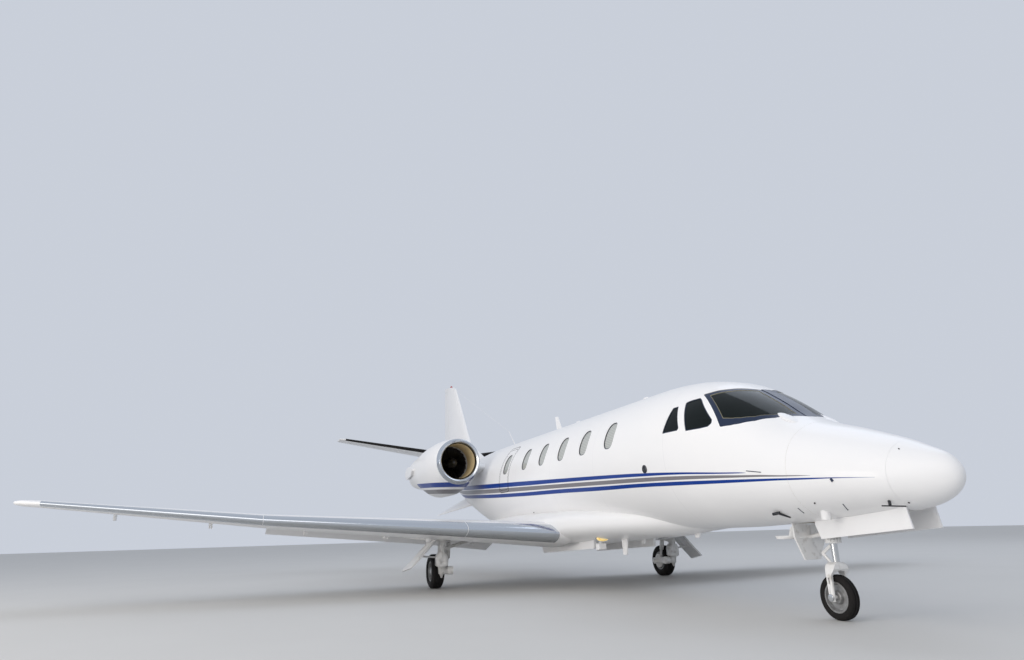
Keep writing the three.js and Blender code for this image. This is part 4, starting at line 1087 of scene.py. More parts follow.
# %% Raised fairings in front of the windshield
NOZZLE = {"centre": (1545, 252, 1948), "size": (170, 90, 26), "slope": 30}
nozzle = blank()
bmesh.ops.create_uvsphere(nozzle, u_segments=40, v_segments=20, radius=MM, calc_uvs=True)
bmesh.ops.scale(nozzle, verts=nozzle.verts, vec=NOZZLE["size"])
tilt = Matrix.Rotation(math.radians(NOZZLE["slope"]), 3, "Y")
bmesh.ops.rotate(nozzle, verts=nozzle.verts, cent=(0, 0, 0), matrix=tilt)
station, y, z = NOZZLE["centre"]
bmesh.ops.translate(nozzle, verts=nozzle.verts, vec=(at(station), y * MM, z * MM))
pair("rain_nozzle", nozzle, paint, "airframe", "white_paint")
print("nozzle fairings", NOZZLE["size"])

# %% [markdown]
# ## Belly fairing
#
# A full-bodied fairing carries the wing under the cabin floor and blends it into the tube.

# %% Belly fairing
rows = [row_at(FAIRING, s) for s in spread(FAIRING[0][0], FAIRING[-1][0], 110)]
fairing = capped(skin(rows, turns(HULL_TURNS), hull_point))
piece("fairing_skin", fairing, paint, "airframe", ["belly_fairing"])
print("fairing from", FAIRING[0][0], "to", FAIRING[-1][0])

# %% [markdown]
# ## Wings and tail
#
# A wing is ribs and skins under a smooth section that thins towards the tip. Its sections
# are laid on the tables as a foil. Flaps and ailerons are the trailing part of the same
# foil, cut off along their hinge line, so that they close the shape when they are up.

# %% Foils


def foil_half(f):
    """Half the thickness of a symmetric foil, as a share of its greatest thickness."""
    return 5 * (
        0.2969 * math.sqrt(f) - 0.126 * f - 0.3516 * f ** 2 + 0.2843 * f ** 3 - 0.1026 * f ** 4
    )


def foil_place(turn, lead, chord, thick, grow=0.0):
    """Distance aft and distance off the chord line, in mm, at a turn round a foil."""
    f = (1 - math.cos(turn)) / 2
    half = foil_half(f) * thick * chord + grow
    side = 0 if abs(math.sin(turn)) < 1e-6 else math.copysign(1, math.sin(turn))
    return lead - grow + f * (chord + 2 * grow), side * half


def level_point(row, turn, grow=0.0):
    """A place on a level foil: a wing, a tailplane, a strake or a pylon."""
    y, lead, chord, z, thick = row
    aft, off = foil_place(turn, lead, chord, thick, grow)
    return Vector((at(aft), y * MM, (z + off) * MM))


def upright_point(row, turn):
    """A place on the fin's foil."""
    z, lead, chord, thick = row
    aft, off = foil_place(turn, lead, chord, thick)
    return Vector((at(aft), off * MM, z * MM))


def foil_rows(table, step):
    """The table's rows with straight rows between, no further apart than step."""
    keys = []
    for one, two in zip(table, table[1:]):
        keys += spread(one[0], two[0], step)[:-1]
    return [straight_row(table, key) for key in keys] + [table[-1]]


def foil(table, place=level_point, step=400):
    """A closed foil laid through the rows of a table."""
    return capped(skin(foil_rows(table, step), turns(FOIL_TURNS), place))


# Trailing surfaces: from, to, in mm of half span or height, share of the chord at the hinge, gap
FLAP = (1080, 5120, 0.79, 14)
AILERON = (5200, 7920, 0.78, 22)
ELEVATOR = (290, 3080, 0.66, 24)
RUDDER = (3010, 5010, 0.7, 34)
END_GAP = 16
# How far a cutter reaches: aft of a hinge line, up, aft of the fin and out to its sides
AFT, OVERHEAD, BEHIND_FIN, ASIDE = 1500, 4000, 17500, 400


def trailing_cut(table, surface, loose):
    """A plan cutter aft of a hinge line. loose leaves the gap round the moving surface."""
    inner, outer, share, gap = surface
    rows = [straight_row(table, y) for y in (inner, outer)]
    lead = [row[1] + share * row[2] + gap * loose for row in rows]
    low, high = inner + END_GAP * loose, outer - END_GAP * loose
    outline = [[lead[0], low], [lead[1], high], [lead[1] + AFT, high], [lead[0] + AFT, low]]
    return plan_plate(outline, 0, OVERHEAD)


def rudder_cut(loose):
    """A side cutter aft of the rudder's hinge line."""
    low, high, share, gap = RUDDER
    rows = [straight_row(FIN, z) for z in (low, high)]
    lead = [row[1] + share * row[2] + gap * loose for row in rows]
    low, high = low + END_GAP * loose, high - END_GAP * loose
    outline = [[lead[0], low], [lead[1], high], [BEHIND_FIN, high], [BEHIND_FIN, low]]
    return side_plate(outline, -ASIDE, ASIDE)


FLAP_LOWERED = 27


def lower_flap(bm):
    """Turns a port flap down about its hinge line, as the parked jet's flaps hang."""
    joint = next(j for j in frame["joints"] if j["name"] == "flap_hinge_left")
    turn = Matrix.Rotation(math.radians(FLAP_LOWERED), 3, Vector(joint["axis"]))
    bmesh.ops.rotate(bm, verts=bm.verts, cent=joint["pos_m"], matrix=turn)


# %% Wings
# A main leg's bay in mm: front, rear, inner side, outer side, top, and the wheel's bay beside it
MAIN_BAY, BAY_LOW = (7690, 7990, 1150, 2410, 925), 300
WHEEL_BAY = {"station": 8000, "y": 1450, "radius": 310}
# The wheel's bay ends this far ahead of the flap's hinge line
BAY_STOP = (*FLAP[:3], 40)
front, rear, inner, outer, top = MAIN_BAY
leg_bay = plan_plate([[front, inner], [rear, inner], [rear, outer], [front, outer]], BAY_LOW, top)
middle = [WHEEL_BAY["station"], WHEEL_BAY["y"]]
wheel_bay = bar([*middle, BAY_LOW], [*middle, top], WHEEL_BAY["radius"], segments=48)
wheel_bay = carve(wheel_bay, trailing_cut(WING, BAY_STOP, -1))
flap_hole, aileron_hole = trailing_cut(WING, FLAP, 0), trailing_cut(WING, AILERON, 0)
wing = carve(foil(WING), flap_hole, aileron_hole, leg_bay, wheel_bay)
pair("wing_skin", wing, paint, "airframe", "white_paint", ["wing_{}"])
flap = carve(foil(WING), trailing_cut(WING, FLAP, 1), operation="INTERSECT")
lower_flap(flap)
pair("flap_skin", flap, paint, "flap_{}", "white_paint", ["flap_{}"])
aileron = carve(foil(WING), trailing_cut(WING, AILERON, 1), operation="INTERSECT")
pair("aileron_skin", aileron, paint, "aileron_{}", "white_paint", ["aileron_{}"])
print("wing's half span", WING[-1][0], "mm, flap lowered", FLAP_LOWERED, "degrees")

# %% Tail
OVER_FIN, CROWN_HALF = 5300, 200
over = [[FIN_CROWN[-1][0], OVER_FIN], [FIN_CROWN[0][0], OVER_FIN]]
crown = side_plate([*FIN_CROWN, *over], -CROWN_HALF, CROWN_HALF)
fin = carve(foil(FIN, upright_point, 300), rudder_cut(0), crown)
piece("fin_skin", fin, paint, "airframe", ["fin"])
rudder = carve(foil(FIN, upright_point, 300), rudder_cut(1), operation="INTERSECT")
piece("rudder_skin", rudder, paint, "rudder", ["rudder"])
tailplane = carve(foil(TAILPLANE), trailing_cut(TAILPLANE, ELEVATOR, 0))
pair("tailplane_skin", tailplane, paint, "airframe", "white_paint", ["tailplane_{}"])
elevator = carve(foil(TAILPLANE), trailing_cut(TAILPLANE, ELEVATOR, 1), operation="INTERSECT")
pair("elevator_skin", elevator, paint, "elevator_{}", "white_paint", ["elevator_{}"])
# The strake starts this far off the tail cone's skin
STRAKE_CLEAR = 3
strake = carve(foil(STRAKE), hull(8000, TAIL_END, STRAKE_CLEAR))
pair("strake_skin", strake, paint, "airframe", "white_paint", ["strake_{}"])

# %% Polished leading edges and de-icing boots
EDGE_PROUD, EDGE_DEEP = 1.5, 3
# Lengths in mm of half span, and how far aft the sheet reaches, as a share of the chord
EDGE_RUNS, EDGE_REACH = [(930, 2296), (2304, 5200), (5208, 8140)], 0.07
BOOT_RUN, BOOT_REACH = (250, 3130), 0.08


def leading_edge(table, start, end, reach):
    """A thin metal skin wrapped over the front of a foil, as far aft as reach of the chord."""
    limit = math.acos(1 - 2 * reach)
    angles = spread(-limit, limit, 0.06)
    rows = [straight_row(table, key) for key in spread(start, end, 250)]
    bm = skin(rows, angles, lambda row, turn: level_point(row, turn % (2 * math.pi), EDGE_PROUD))
    return thickened(bm, EDGE_DEEP)


for number, run in enumerate(EDGE_RUNS, 1):
    edge = leading_edge(WING, *run, EDGE_REACH)
    pair(f"wing_leading_edge_{number}", edge, polished, "airframe", "wheel_alloy")
# The tailplane's leading edges wear black rubber boots
boot = leading_edge(TAILPLANE, *BOOT_RUN, BOOT_REACH)
pair("tailplane_boot", boot, rubber, "airframe", "tyre_rubber")

# %% [markdown]
# ## Engines
#
# Each nacelle is an aluminium cowl round a duct: a polished lip, a perforated liner, the
# fan with its spinner, and at the rear the two halves of the thrust reverser.

# %% Nacelles
REVERSER_FRONT, REVERSER_REAR, REVERSER_PIVOT, SWING = 11450, 12600, 12150, 32
# Engine profiles are given in mm aft of this station
ENGINE_DATUM = 9000
LIP_FRONT, LIP_END, LIP_THICK = 9350, 9425, 4


def nacelle_point(row, turn, grow=0.0):
    """A place on the port nacelle's section."""
    return hull_point(row, turn, grow, ENGINE_Y)


def nacelle_body(start, end, grow=0.0, step=60):
    """A closed length of the port nacelle, grown by a distance in mm."""
    rows = [row_at(NACELLE, s) for s in spread(start, end, step)]
    return capped(skin(rows, turns(HULL_TURNS), lambda row, turn: nacelle_point(row, turn, grow)))


def engine_turned(profile, sides=HULL_TURNS, drop=0):
    """A profile of [mm aft of the datum, radius], turned about the port engine's axis."""
    return turned(profile, (ENGINE_DATUM, ENGINE_Y, ENGINE_Z - drop), (-1, 0, 0), sides)


duct = engine_turned([[0, 0], [0, 353], [1100, 353], [1140, 400], [2600, 400], [2600, 0]])
cowl = carve(nacelle_body(LIP_END + 2, REVERSER_FRONT - 6), duct)
pair("cowl_skin", cowl, cowl_paint, "airframe", "white_paint", ["nacelle_{}"])

# The lip from the duct round its front: [station, radius]
LIP = [
    [LIP_END, 351], [9400, 354], [9375, 361], [9355, 368], [9345, 374],
    [9338, 383], [9328, 394], [9322, 404], [9324, 414], [9334, 424],
]
lip_rows = [[s, ENGINE_Z, r, r, r, 2] for s, r in LIP]
lip_rows += [row_at(NACELLE, s) for s in spread(LIP_FRONT, LIP_END, 12)]
lip = thickened(skin(lip_rows, turns(HULL_TURNS), nacelle_point), LIP_THICK)
pair("inlet_lip", lip, polished, "airframe", "wheel_alloy")

sheet = engine_turned([[427, 352], [560, 348], [940, 351], [940, 358], [427, 358], [427, 352]])
pair("inlet_liner", sheet, liner, "airframe", "engine_steel")
print("cowl from", LIP_END, "to", REVERSER_FRONT)

# %% Fans and engine cores
FAN_AT, BLADES = 10040, 22
# A blade's sections: [radius, chord, twist in degrees, thickness over chord]
BLADE = [
    [105, 96, 24, 0.1], [170, 112, 34, 0.08], [240, 126, 45, 0.06], [300, 134, 54, 0.045],
    [344, 130, 60, 0.04],
]


def blade_point(row, turn):
    """A fan blade's section, twisted more towards its tip."""
    radius, chord, twist, thick = row
    aft, off = foil_place(turn, -chord / 2, chord, thick)
    angle = math.radians(twist)
    along = aft * math.cos(angle) - off * math.sin(angle)
    around = aft * math.sin(angle) + off * math.cos(angle)
    return Vector((at(FAN_AT + along), (ENGINE_Y + around) * MM, (ENGINE_Z + radius) * MM))


blade = capped(skin(BLADE, turns(12), blade_point))
bmesh.ops.spin(
    blade, geom=blade.verts[:] + blade.edges[:] + blade.faces[:],
    cent=(0, ENGINE_Y * MM, ENGINE_Z * MM), axis=(1, 0, 0),
    angle=2 * math.pi * (BLADES - 1) / BLADES, steps=BLADES - 1, use_duplicate=True,
)
hub = engine_turned(
    [[700, 0], [708, 22], [740, 52], [800, 86], [880, 109], [940, 118], [1110, 118], [1110, 0]], 64
)
pair("fan_rotor", joined(blade, hub), titanium, "fan_{}", "fan_titanium", ["fan_{}"])
core = engine_turned([
    [1160, 0], [1160, 389], [1900, 389], [2300, 335], [2440, 318], [3080, 290], [3080, 266],
    [2480, 284], [2480, 150], [3000, 20], [3000, 0],
], 72)
pair("engine_core_skin", core, hot_steel, "airframe", "engine_steel", ["engine_core_{}"])
print("fan blades", BLADES)

# %% Reversers and pylons
# The halves part along a line this far off the axis, which opens aft of the pivot
PARTING, HALF_FRONT, HALF_HIGH, BEHIND = 3, 11400, 700, REVERSER_REAR + 20
# The reverser's bore lies a little under the engine's axis
BORE_DROP = 12
rise = (REVERSER_REAR - REVERSER_PIVOT) * math.tan(math.radians(SWING + 1))
for word, sign in (("upper", 1), ("lower", -1)):
    half = [
        [HALF_FRONT, PARTING], [REVERSER_PIVOT, PARTING], [BEHIND, rise + PARTING],
        [BEHIND, HALF_HIGH], [HALF_FRONT, HALF_HIGH],
    ]
    outline = [[s, ENGINE_Z + sign * z] for s, z in half]
    bore = [[2400, 0], [2400, 350], [3000, 350], [3650, 300], [3650, 0]]
    bore = engine_turned(bore, 72, BORE_DROP)
    shell = carve(nacelle_body(REVERSER_FRONT, REVERSER_REAR), bore)
    half_plug = side_plate(outline, ENGINE_Y - HALF_HIGH, ENGINE_Y + HALF_HIGH)
    shell = carve(shell, half_plug, operation="INTERSECT")
    name = f"reverser_{word}"
    pair(name + "_skin", shell, paint, name + "_{}", "white_paint", [name + "_{}"])
pylon = carve(foil(PYLON, step=120), nacelle_body(9320, REVERSER_REAR, 1))
pair("pylon_skin", pylon, paint, "airframe", "white_paint", ["pylon_{}"])

# %% [markdown]
# ## Landing gear
#
# The legs are forged and machined parts under white enamel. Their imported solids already
# have the right shape, so copies of them are welded and shaded smooth. Tyres and wheels
# are turned, with the tread's grooves cut round the crown.

# %% Wheels and tyres
NOSE_WHEEL = {"station": 1500, "y": 0, "radius": 209, "width": 106, "rim": 145}
MAIN_WHEEL = {"station": 8155, "y": 2305, "radius": 280, "width": 215, "rim": 165}


def wheel_turned(wheel, profile):
    """A profile of [y, radius] in mm, turned about a wheel's axle."""
    return turned(profile, (wheel["station"], wheel["y"], wheel["radius"]), (0, 1, 0), 72)


def tyre(wheel, grooves):
    """A tyre turned from half its section, with grooves round its crown."""
    radius, width, h, rim = wheel["radius"], wheel["width"], wheel["width"] / 2, wheel["rim"]
    shoulder = radius - width * 0.2
    wall_high = shoulder - rim
    side = [
        [-h * 0.8, rim + 1], [-h * 0.93, rim + wall_high * 0.2], [-h, rim + wall_high * 0.5],
        [-h * 0.97, shoulder], [-h * 0.86, radius - width * 0.1], [-h * 0.7, radius - 3],
    ]
    crown = []
    for groove in grooves:
        for off, deep in ((-5, 0), (-4, 8), (4, 8), (5, 0)):
            crown.append([groove * h + off, radius - deep])
    profile = [*side, *crown, *[[-w, r] for w, r in reversed(side)]]
    inner = [[h * 0.6, rim + 1], [-h * 0.6, rim + 1]]
    return wheel_turned(wheel, [*profile, *inner, profile[0]])


def rim_face(wheel, bore):
    """A wheel turned from its section: a deep dish between a hub and a flanged rim."""
    h, rim = wheel["width"] * 0.4, wheel["rim"]
    hub, dish = rim * 0.4, wheel["width"] * 0.1
    near = [
        [-h, bore], [-h, hub * 0.9], [-h + 4, hub], [-dish, hub * 1.15], [-dish, rim * 0.78],
        [-h + 8, rim * 0.86], [-h, rim * 0.88], [-h, rim * 0.98], [-h + 3, rim],
    ]
    far = [[-w, r] for w, r in reversed(near)]
    return wheel_turned(wheel, [*near, *far, near[0]])


# Grooves stand at these shares of the tyre's half width
nose_tread = tyre(NOSE_WHEEL, [-0.3, 0.3])
piece("nose_tyre_tread", nose_tread, rubber, "nose_wheel", ["nose_tyre"])
nose_rim = rim_face(NOSE_WHEEL, 22)
piece("nose_rim", nose_rim, wheel_paint, "nose_wheel", ["nose_wheel"])
main_tread = tyre(MAIN_WHEEL, [-0.5, -0.17, 0.17, 0.5])
pair("main_tyre_tread", main_tread, rubber, "main_wheel_{}", "tyre_rubber", ["main_tyre_{}"])
main_rim = rim_face(MAIN_WHEEL, 34)
pair("main_rim", main_rim, wheel_paint, "main_wheel_{}", "wheel_alloy", ["main_wheel_{}"])
print("wheels", NOSE_WHEEL["radius"] * 2, "and", MAIN_WHEEL["radius"] * 2, "mm across")

# %% Legs and doors
LEGS = [("nose_leg", "airframe"), ("nose_fork", "nose_fork")]
LEGS += [(f"main_{part}_{word}", "airframe") for part in ("leg", "link") for word in SIDES]
GEAR_DOORS = [f"{gear}_door_{word}" for gear in ("main", "nose") for word in SIDES]
for node, body in LEGS:
    piece(node + "_smooth", copied(node), gear_paint, body, [node])
for node in GEAR_DOORS:
    piece(node + "_smooth", copied(node), paint, "airframe", [node])
print("legs and gear doors", len(LEGS) + len(GEAR_DOORS))

# %% [markdown]
# ## Chrome, lamps, aerials and brackets
#
# Small fittings are made as the shop makes them: blades and brackets are flat plate with
# rounded corners, probes and rods are drawn bar, and the lamps and domes are turned.

# %% Lamp and beacon lenses
# Pressed glass: ribs that scatter a warm glow
lamp_glass = patterned(
    "pressed lamp lens", "#F3D58A", 30, "TexWave", tones=("#E9BC58", "#FBEBB8"), Roughness=0.15,
    Coat_Weight=1.0, Emission_Color=linear("#F6D27A"), Emission_Strength=0.5,
)
# Moulded acrylic: deep red that darkens in patches, under a hard gloss
red_glass = patterned(
    "red beacon lens", "#A3161A", 30, tones=("#8A1014", "#C02228"), Roughness=0.12, Coat_Weight=1.0
)

# %% Aerials
# Blades: [front of the root's station, y, root z, tip z, root chord, tip chord, lean aft]
CROWN_BLADES = [
    [7610, 0, 2680, 2990, 230, 110, 190],
    [6860, 0, 2680, 2765, 170, 110, 30],
    [4560, 0, 2680, 2765, 170, 110, 30],
]
BELLY_BLADES = [
    [4950, -300, 800, 540, 180, 100, 50],
    [4960, 0, 780, 680, 150, 90, 40],
    [3620, 0, 860, 765, 140, 80, 40],
]
BLADE_HALF = 8


def blade_plate(row):
    """A blade aerial: a swept plate with rounded corners."""
    front, y, root_z, tip_z, root, tip, lean = row
    far = front + lean
    outline = [[front, root_z], [front + root, root_z], [far + tip, tip_z], [far, tip_z]]
    return side_plate(outline, y - BLADE_HALF, y + BLADE_HALF, rounding=0.012)


blades = joined(*[blade_plate(row) for row in CROWN_BLADES + BELLY_BLADES])
piece("blade_aerials", blades, paint, "airframe")
# The whip leans aft, and its wire runs taut from the whip's tip to the fin
WHIP, WHIP_RADIUS, WHIP_TIP = ([10060, 0, 2680], [10480, 0, 3080]), 11, 6
WIRE, WIRE_RADIUS = ([10478, 0, 3078], [14740, 0, 4868]), 2.5
whip = bar(*WHIP, WHIP_RADIUS, tip=WHIP_TIP, segments=16)
whip = joined(whip, bar(*WIRE, WIRE_RADIUS, segments=8))
piece("whip_and_wire", whip, gear_paint, "airframe")
print("blade aerials", len(CROWN_BLADES + BELLY_BLADES))

# %% Probes, slots and ports
# Rods on the skin: [start, end, radius], each place as [station, y, z]
RODS = [
    # The angle probe and its head
    [[1608, -365, 966], [1632, -484, 1004], 10],
    [[1612, -488, 1010], [1690, -504, 1000], 15],
    # The pitot's foot and tube
    [[519, -262, 1088], [478, -306, 1030], 13],
    [[323, -310, 1018], [558, -310, 1032], 6],
    # Two drain masts
    [[4330, 120, 870], [4350, 120, 800], 7],
    [[4700, -220, 850], [4710, -220, 780], 7],
]
rods = joined(*[bar(start, end, radius, segments=20, rim=1) for start, end, radius in RODS])
piece("probes", rods, titanium, "airframe")
# Slots and marks: [start, end, radius]
MARKS = [
    [[1378, -467, 1048], [1387, -394, 1000], 5],
    [[907, -383, 1063], [934, -307, 1011], 5],
    [[862, -506, 1262], [879, -506, 1284], 13],
    [[1570, -692, 1402], [1740, -728, 1430], 4],
]
marks = joined(*[bar(start, end, radius, segments=12) for start, end, radius in MARKS])
piece("static_slots", marks, black_mask, "airframe")
# The air data port: where it sits, how deep, and its section as [distance out, radius]
PORT_S, PORT_Z, PORT_SUNK = 3390, 1597, 6
PORT = [[0, 0], [0, 50], [12, 50], [16, 44], [16, 24], [10, 18], [10, 0]]
port_at = (PORT_S, PORT_SUNK - skin_y(PORT_S, PORT_Z), PORT_Z)
piece("air_data_port", turned(PORT, port_at, (0, -1, 0), 40), titanium, "airframe")

# Static ports, drains and screws: [station, y, z]
DOTS = [
    [8798, -637, 1116], [7412, -723, 1212], [6504, -573, 1060], [7173, -215, 886],
    [1156, -465, 1085], [386, -193, 1050], [369, -214, 1498],
]
# A dot stands out from the middle of the body, by this share
DOT_OUT, DOT_RADIUS, BODY_Z = 0.012, 8, 1500
dots = joined(*[
    bar([s, y, z], [s, y * (1 + DOT_OUT), z + (z - BODY_Z) * DOT_OUT], DOT_RADIUS, segments=16)
    for s, y, z in [(s, y * side, z) for s, y, z in DOTS for side in (1, -1)]
])
piece("skin_ports", dots, rubber, "airframe")
print("probes", len(RODS), "slots", len(MARKS), "ports", 2 * len(DOTS))

# %% Belly rails, lamp and beacon
RAIL = [[5560, 780], [5560, 625], [7470, 530], [7540, 625], [7400, 780]]
RAIL_WIDE, RAIL_Y = 40, (500, -540)
rails = joined(*[side_plate(RAIL, y, y + RAIL_WIDE, rounding=0.02) for y in RAIL_Y])
piece("belly_rails", rails, paint, "airframe")
# The lamp's box and its foot: outline, from y, to y
LAMP_BOX = ([[5300, 700], [5300, 625], [5315, 612], [5400, 612], [5400, 700]], -585, -470)
LAMP_FOOT = ([[5330, 850], [5330, 690], [5370, 690], [5370, 850]], -545, -505)
lamp_box = joined(side_plate(*LAMP_BOX), side_plate(*LAMP_FOOT))
piece("belly_lamp_box", lamp_box, paint, "airframe")
# The bowl and its lens are turned round and then drawn out to an oval: [distance out, radius]
BOWL = [[-90, 0], [-84, 24], [-50, 46], [-4, 53], [2, 53], [2, 0]]
LENS_FACE = [[2, 0], [2, 49], [8, 46], [15, 34], [19, 18], [20, 0]]
LAMP_S, LAMP_OVAL, LAMP_AT = 5291, (1, 2.1, 0.85), (0, -0.525, 0.772)
bowl, lens = [turned(profile, (LAMP_S, 0, 0), (1, 0, 0), 48) for profile in (BOWL, LENS_FACE)]
for shell in (bowl, lens):
    bmesh.ops.scale(shell, verts=shell.verts, vec=LAMP_OVAL)
    bmesh.ops.translate(shell, verts=shell.verts, vec=LAMP_AT)
piece("belly_lamp_bowl", bowl, polished, "airframe")
piece("belly_lamp", lens, lamp_glass, "airframe")
BEACON = [[0, 0], [0, 38], [40, 38], [62, 34], [80, 24], [90, 12], [94, 0]]
BEACON_AT = (15270, 0, 5020)
piece("beacon", turned(BEACON, BEACON_AT, (0, 0, 1), 40), red_glass, "airframe")

# %% Brackets under the wing
FLAP_BRACKETS, AILERON_BRACKETS = [1560, 3120, 4470], [5940, 7300]
# Depth and half thickness of a plate, and how far an arm stands beside its bracket
BRACKET_DEEP, BRACKET_HALF, BESIDE = 115, 11, 36
# An arm's length, and how far it stays off the gap before its surface
ARM_LONG, ARM_CLEAR = 160, 10
FIXED = [[-230, -20], [-170, 58], [-60, BRACKET_DEEP], [-10, BRACKET_DEEP], [-10, -20]]


def bracket(y, surface, outline, aside):
    """A plate under the wing: its outline is [aft of the hinge line, below the underside]."""
    inner, outer, share, _ = surface
    rows = [straight_row(WING, end) for end in (inner, outer)]
    ends = [row[1] + share * row[2] for row in rows]
    hinge = ends[0] + (y + aside - inner) / (outer - inner) * (ends[1] - ends[0])
    _, lead, chord, z, thick = straight_row(WING, y)
    under = z - foil_half((hinge - lead) / chord) * thick * chord
    placed = [[hinge + aft, under - below] for aft, below in outline]
    return side_plate(placed, y + aside - BRACKET_HALF, y + aside + BRACKET_HALF, rounding=0.008)


def arms(places, surface):
    """The arms that carry a trailing surface, each beside its bracket and aft of the gap."""
    front = surface[3] + ARM_CLEAR
    outline = [
        [front, -8], [front, BRACKET_DEEP * 0.8], [front + 40, BRACKET_DEEP],
        [front + ARM_LONG, 12], [front + ARM_LONG, -4],
    ]
    return joined(*[bracket(y, surface, outline, BESIDE) for y in places])


fixed = joined(
    *[bracket(y, FLAP, FIXED, 0) for y in FLAP_BRACKETS],
    *[bracket(y, AILERON, FIXED, 0) for y in AILERON_BRACKETS],
)
pair("wing_brackets", fixed, paint, "airframe", "white_paint")
flap_arms = arms(FLAP_BRACKETS, FLAP)
lower_flap(flap_arms)
pair("flap_arms", flap_arms, paint, "flap_{}", "white_paint")
pair("aileron_arms", arms(AILERON_BRACKETS, AILERON), paint, "aileron_{}", "white_paint")
# Jacking pads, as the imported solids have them: [station, y, face, root], radius, bevel
PAD_RADIUS, PAD_BEVEL = 45, 3
WING_PAD, NOSE_PAD = (7250, 2650, 777, 900), (1180, -330, 930, 1080)
wing_pad, nose_pad = [
    bar([s, y, face], [s, y, root], PAD_RADIUS, segments=40, rim=PAD_BEVEL)
    for s, y, face, root in (WING_PAD, NOSE_PAD)
]
pair("wing_jack_pad", wing_pad, paint, "airframe", "white_paint")
piece("nose_jack_pad", nose_pad, paint, "airframe")
print("brackets a side", len(FLAP_BRACKETS + AILERON_BRACKETS))

# %% The fixed arm that holds the reverser's pivot
PIVOT_FAIRING = [
    [11240, 2255], [11420, 2170], [12100, 2135], [12420, 2150], [12500, 2215],
    [12500, 2330], [12420, 2400], [12100, 2415], [11420, 2360], [11240, 2300],
]
# How far out of the engine's axis the arm starts and ends, how far off the cowl, and its play
PIVOT_NEAR, PIVOT_FAR, PIVOT_OUT, RUN = 385, 560, 62, 8
arm = carve(
    side_plate(PIVOT_FAIRING, ENGINE_Y + PIVOT_NEAR, ENGINE_Y + PIVOT_FAR, rounding=0.015),
    nacelle_body(11000, REVERSER_REAR, PIVOT_OUT),
    operation="INTERSECT",
)
pivot = (at(REVERSER_PIVOT), ENGINE_Y * MM, ENGINE_Z * MM)
# The swinging halves clear the arm at every angle, so they are cut out of it in steps
for angle in range(-SWING, SWING + 1, SWING // 4):
    halves = nacelle_body(REVERSER_FRONT - 15, REVERSER_REAR, RUN, step=150)
    swung = Matrix.Rotation(math.radians(angle), 3, "Y")
    bmesh.ops.rotate(halves, verts=halves.verts, cent=pivot, matrix=swung)
    arm = carve(arm, halves)
pair("reverser_pivot_arm", arm, paint, "airframe", "white_paint")
print("reverser swings", SWING, "degrees")

# %% Chrome on the nose gear
PISTON, PISTON_RADIUS = ([1470, 0, 536], [1470, 0, 704]), 32.5
slider = bar(*PISTON, PISTON_RADIUS, segments=48)
piece("nose_piston_chrome", slider, chrome, "nose_fork")
# Caps on both ends of the axle: from y, to y
CAPS, CAP_RADIUS = [(-112, -100), (100, 112)], 34
station, height = NOSE_WHEEL["station"], NOSE_WHEEL["radius"]
caps = joined(*[
    bar([station, a, height], [station, b, height], CAP_RADIUS, segments=40, rim=3) for a, b in CAPS
])
piece("nose_axle_caps", caps, chrome, "nose_fork")
print("nose axle caps", len(CAPS))

# %% [markdown]
# ## Cabin and cockpit, seen through the glass
#
# Only the cockpit shows, dimly. Each crew seat is a dark moulded frame that carries leather
# pads. A pad is foam under a sewn cover, so it is crowned, pulled in between its corners and
# drawn down along its seams. A formula over a fine grid gives exactly that, with no need for
# a cloth simulation on so small and so hidden a piece.

# %% Carpet, panel and leather
# Tufted: a matt, flecked brown without any highlight
carpet = patterned(
    "cut-pile carpet", "#6B6154", 5, detail=3.0, tones=("#595045", "#7D7263"), Roughness=0.95
)
# Moulded with a leather grain: near black, and fine bumps that spread its highlight
dark_panel, tree, shader, place = new_material("moulded panel plastic", "#22262C", Roughness=0.55)
rippled(tree, shader, place, 3, 0.2, 0.001)
# Tanned and embossed: a warm tan with a cell-like grain
leather = patterned(
    "grained seat leather", "#B8A88F", 4, "TexVoronoi", tones=("#A99878", "#C2B49C"), Roughness=0.55
)
for node, finish in (("cabin_floor", carpet), ("instrument_panel", dark_panel)):
    mesh = frame["nodes"][node].data
    mesh.materials.clear()
    mesh.materials.append(finish)
print("cabin materials", len(bpy.data.materials))

# %% Seat pads
# Pads: [name, centre station, centre z, length, width, thickness, lean in degrees, channels across]
PADS = [
    ("seat_pad", 2662, 1530, 470, 436, 105, 0, 2),
    ("seat_back", 2946, 1838, 560, 430, 82, 73.5, 3),
    ("seat_headrest", 3040, 2150, 120, 250, 76, 78, 0),
]
# Cuts along each side of a pad's grid
PAD_CUTS = 39
# How far a pad is crowned, drawn in along its sides, rounded over and sewn down, in mm
CROWN, TUCK, ROUND, SEWN, PIPED = 15, 9, 24, 11, 5
# The channels' width and the piping's place, as shares of half the pad
CHANNEL_WIDE, PIPING_AT = 0.045, 0.92


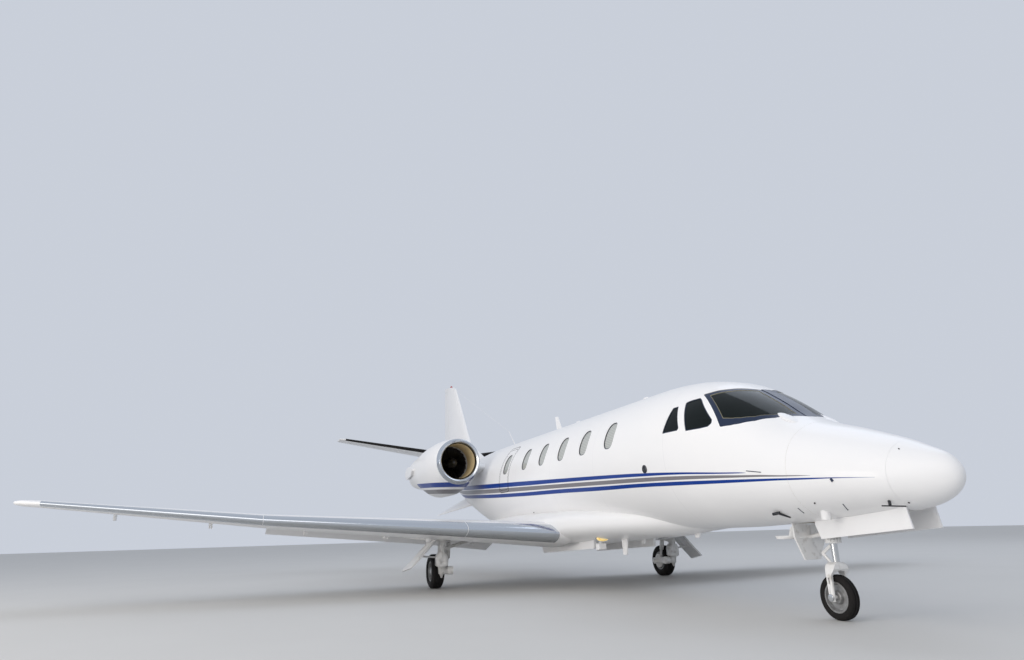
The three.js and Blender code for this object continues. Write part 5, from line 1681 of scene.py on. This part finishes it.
def pad(length, width, thick, channels):
    """A cushion: crowned on its faces, drawn in between its corners, with sewn channels."""
    bm = blank()
    bmesh.ops.create_cube(bm, size=2, calc_uvs=True)
    bmesh.ops.subdivide_edges(bm, edges=bm.edges[:], cuts=PAD_CUTS, use_grid_fill=True)
    spots = [(k + 1) / (channels + 1) * 2 - 1 for k in range(channels)]
    for v in bm.verts:
        u, w, h = v.co
        dome = (1 - u ** 4) * (1 - w ** 4)
        sewn = sum(math.exp(-((u - spot) / CHANNEL_WIDE) ** 2) for spot in spots)
        piped = math.exp(-((max(abs(u), abs(w)) - PIPING_AT) / CHANNEL_WIDE) ** 2)
        tall = thick / 2 - CROWN * (1 - dome) - SEWN * sewn * dome - PIPED * piped
        rounded = ROUND * abs(h) ** 3
        v.co = (
            u * (length / 2 - rounded - TUCK * (1 - w * w)) * MM,
            w * (width / 2 - rounded - TUCK * (1 - u * u)) * MM,
            h * tall * MM,
        )
    bmesh.ops.smooth_vert(
        bm, verts=bm.verts, factor=0.5, use_axis_x=True, use_axis_y=True, use_axis_z=True
    )
    return bm


print("pads", len(PADS) * len(SIDES))

# %% Seats
SEAT_Y = 350
# Half widths of the seat's base and back, and where the armrests and their stubs stand
BASE_HALF, BACK_HALF, ARM_OUT, STUB_IN = 130, 205, 236, 200
BASE = [[2500, 1242], [2860, 1242], [2820, 1476], [2540, 1476]]
BACK = [[2905, 1500], [2960, 1500], [3096, 2090], [3090, 2200], [3062, 2200], [3044, 2100]]


def armrest(middle, side):
    """A padded rail and the stub that joins it to the back."""
    rail, stub, stub_end = [middle + side * out for out in (ARM_OUT, STUB_IN, ARM_OUT + 4)]
    return [
        bar([2640, rail, 1700], [2930, rail, 1720], 24, rim=8),
        bar([2900, stub, 1716], [2900, stub_end, 1716], 16),
    ]


for word, side in SIDES.items():
    middle = side * SEAT_Y
    seat = joined(
        side_plate(BASE, middle - BASE_HALF, middle + BASE_HALF, rounding=0.01),
        side_plate(BACK, middle - BACK_HALF, middle + BACK_HALF, rounding=0.01),
        *armrest(middle, -1), *armrest(middle, 1),
    )
    node = f"cockpit_seat_{word}"
    piece(f"seat_frame_{word}", seat, dark_panel, "airframe", [node])
    for name, station, z, length, width, thick, lean, channels in PADS:
        cushion = pad(length, width, thick, channels)
        tipped = Matrix.Rotation(math.radians(lean), 3, "Y")
        bmesh.ops.rotate(cushion, verts=cushion.verts, cent=(0, 0, 0), matrix=tipped)
        bmesh.ops.translate(cushion, verts=cushion.verts, vec=(at(station), middle * MM, z * MM))
        stuffed = piece(f"{name}_{word}", cushion, leather, "airframe", sharp=60)
print("seats", len(SIDES))
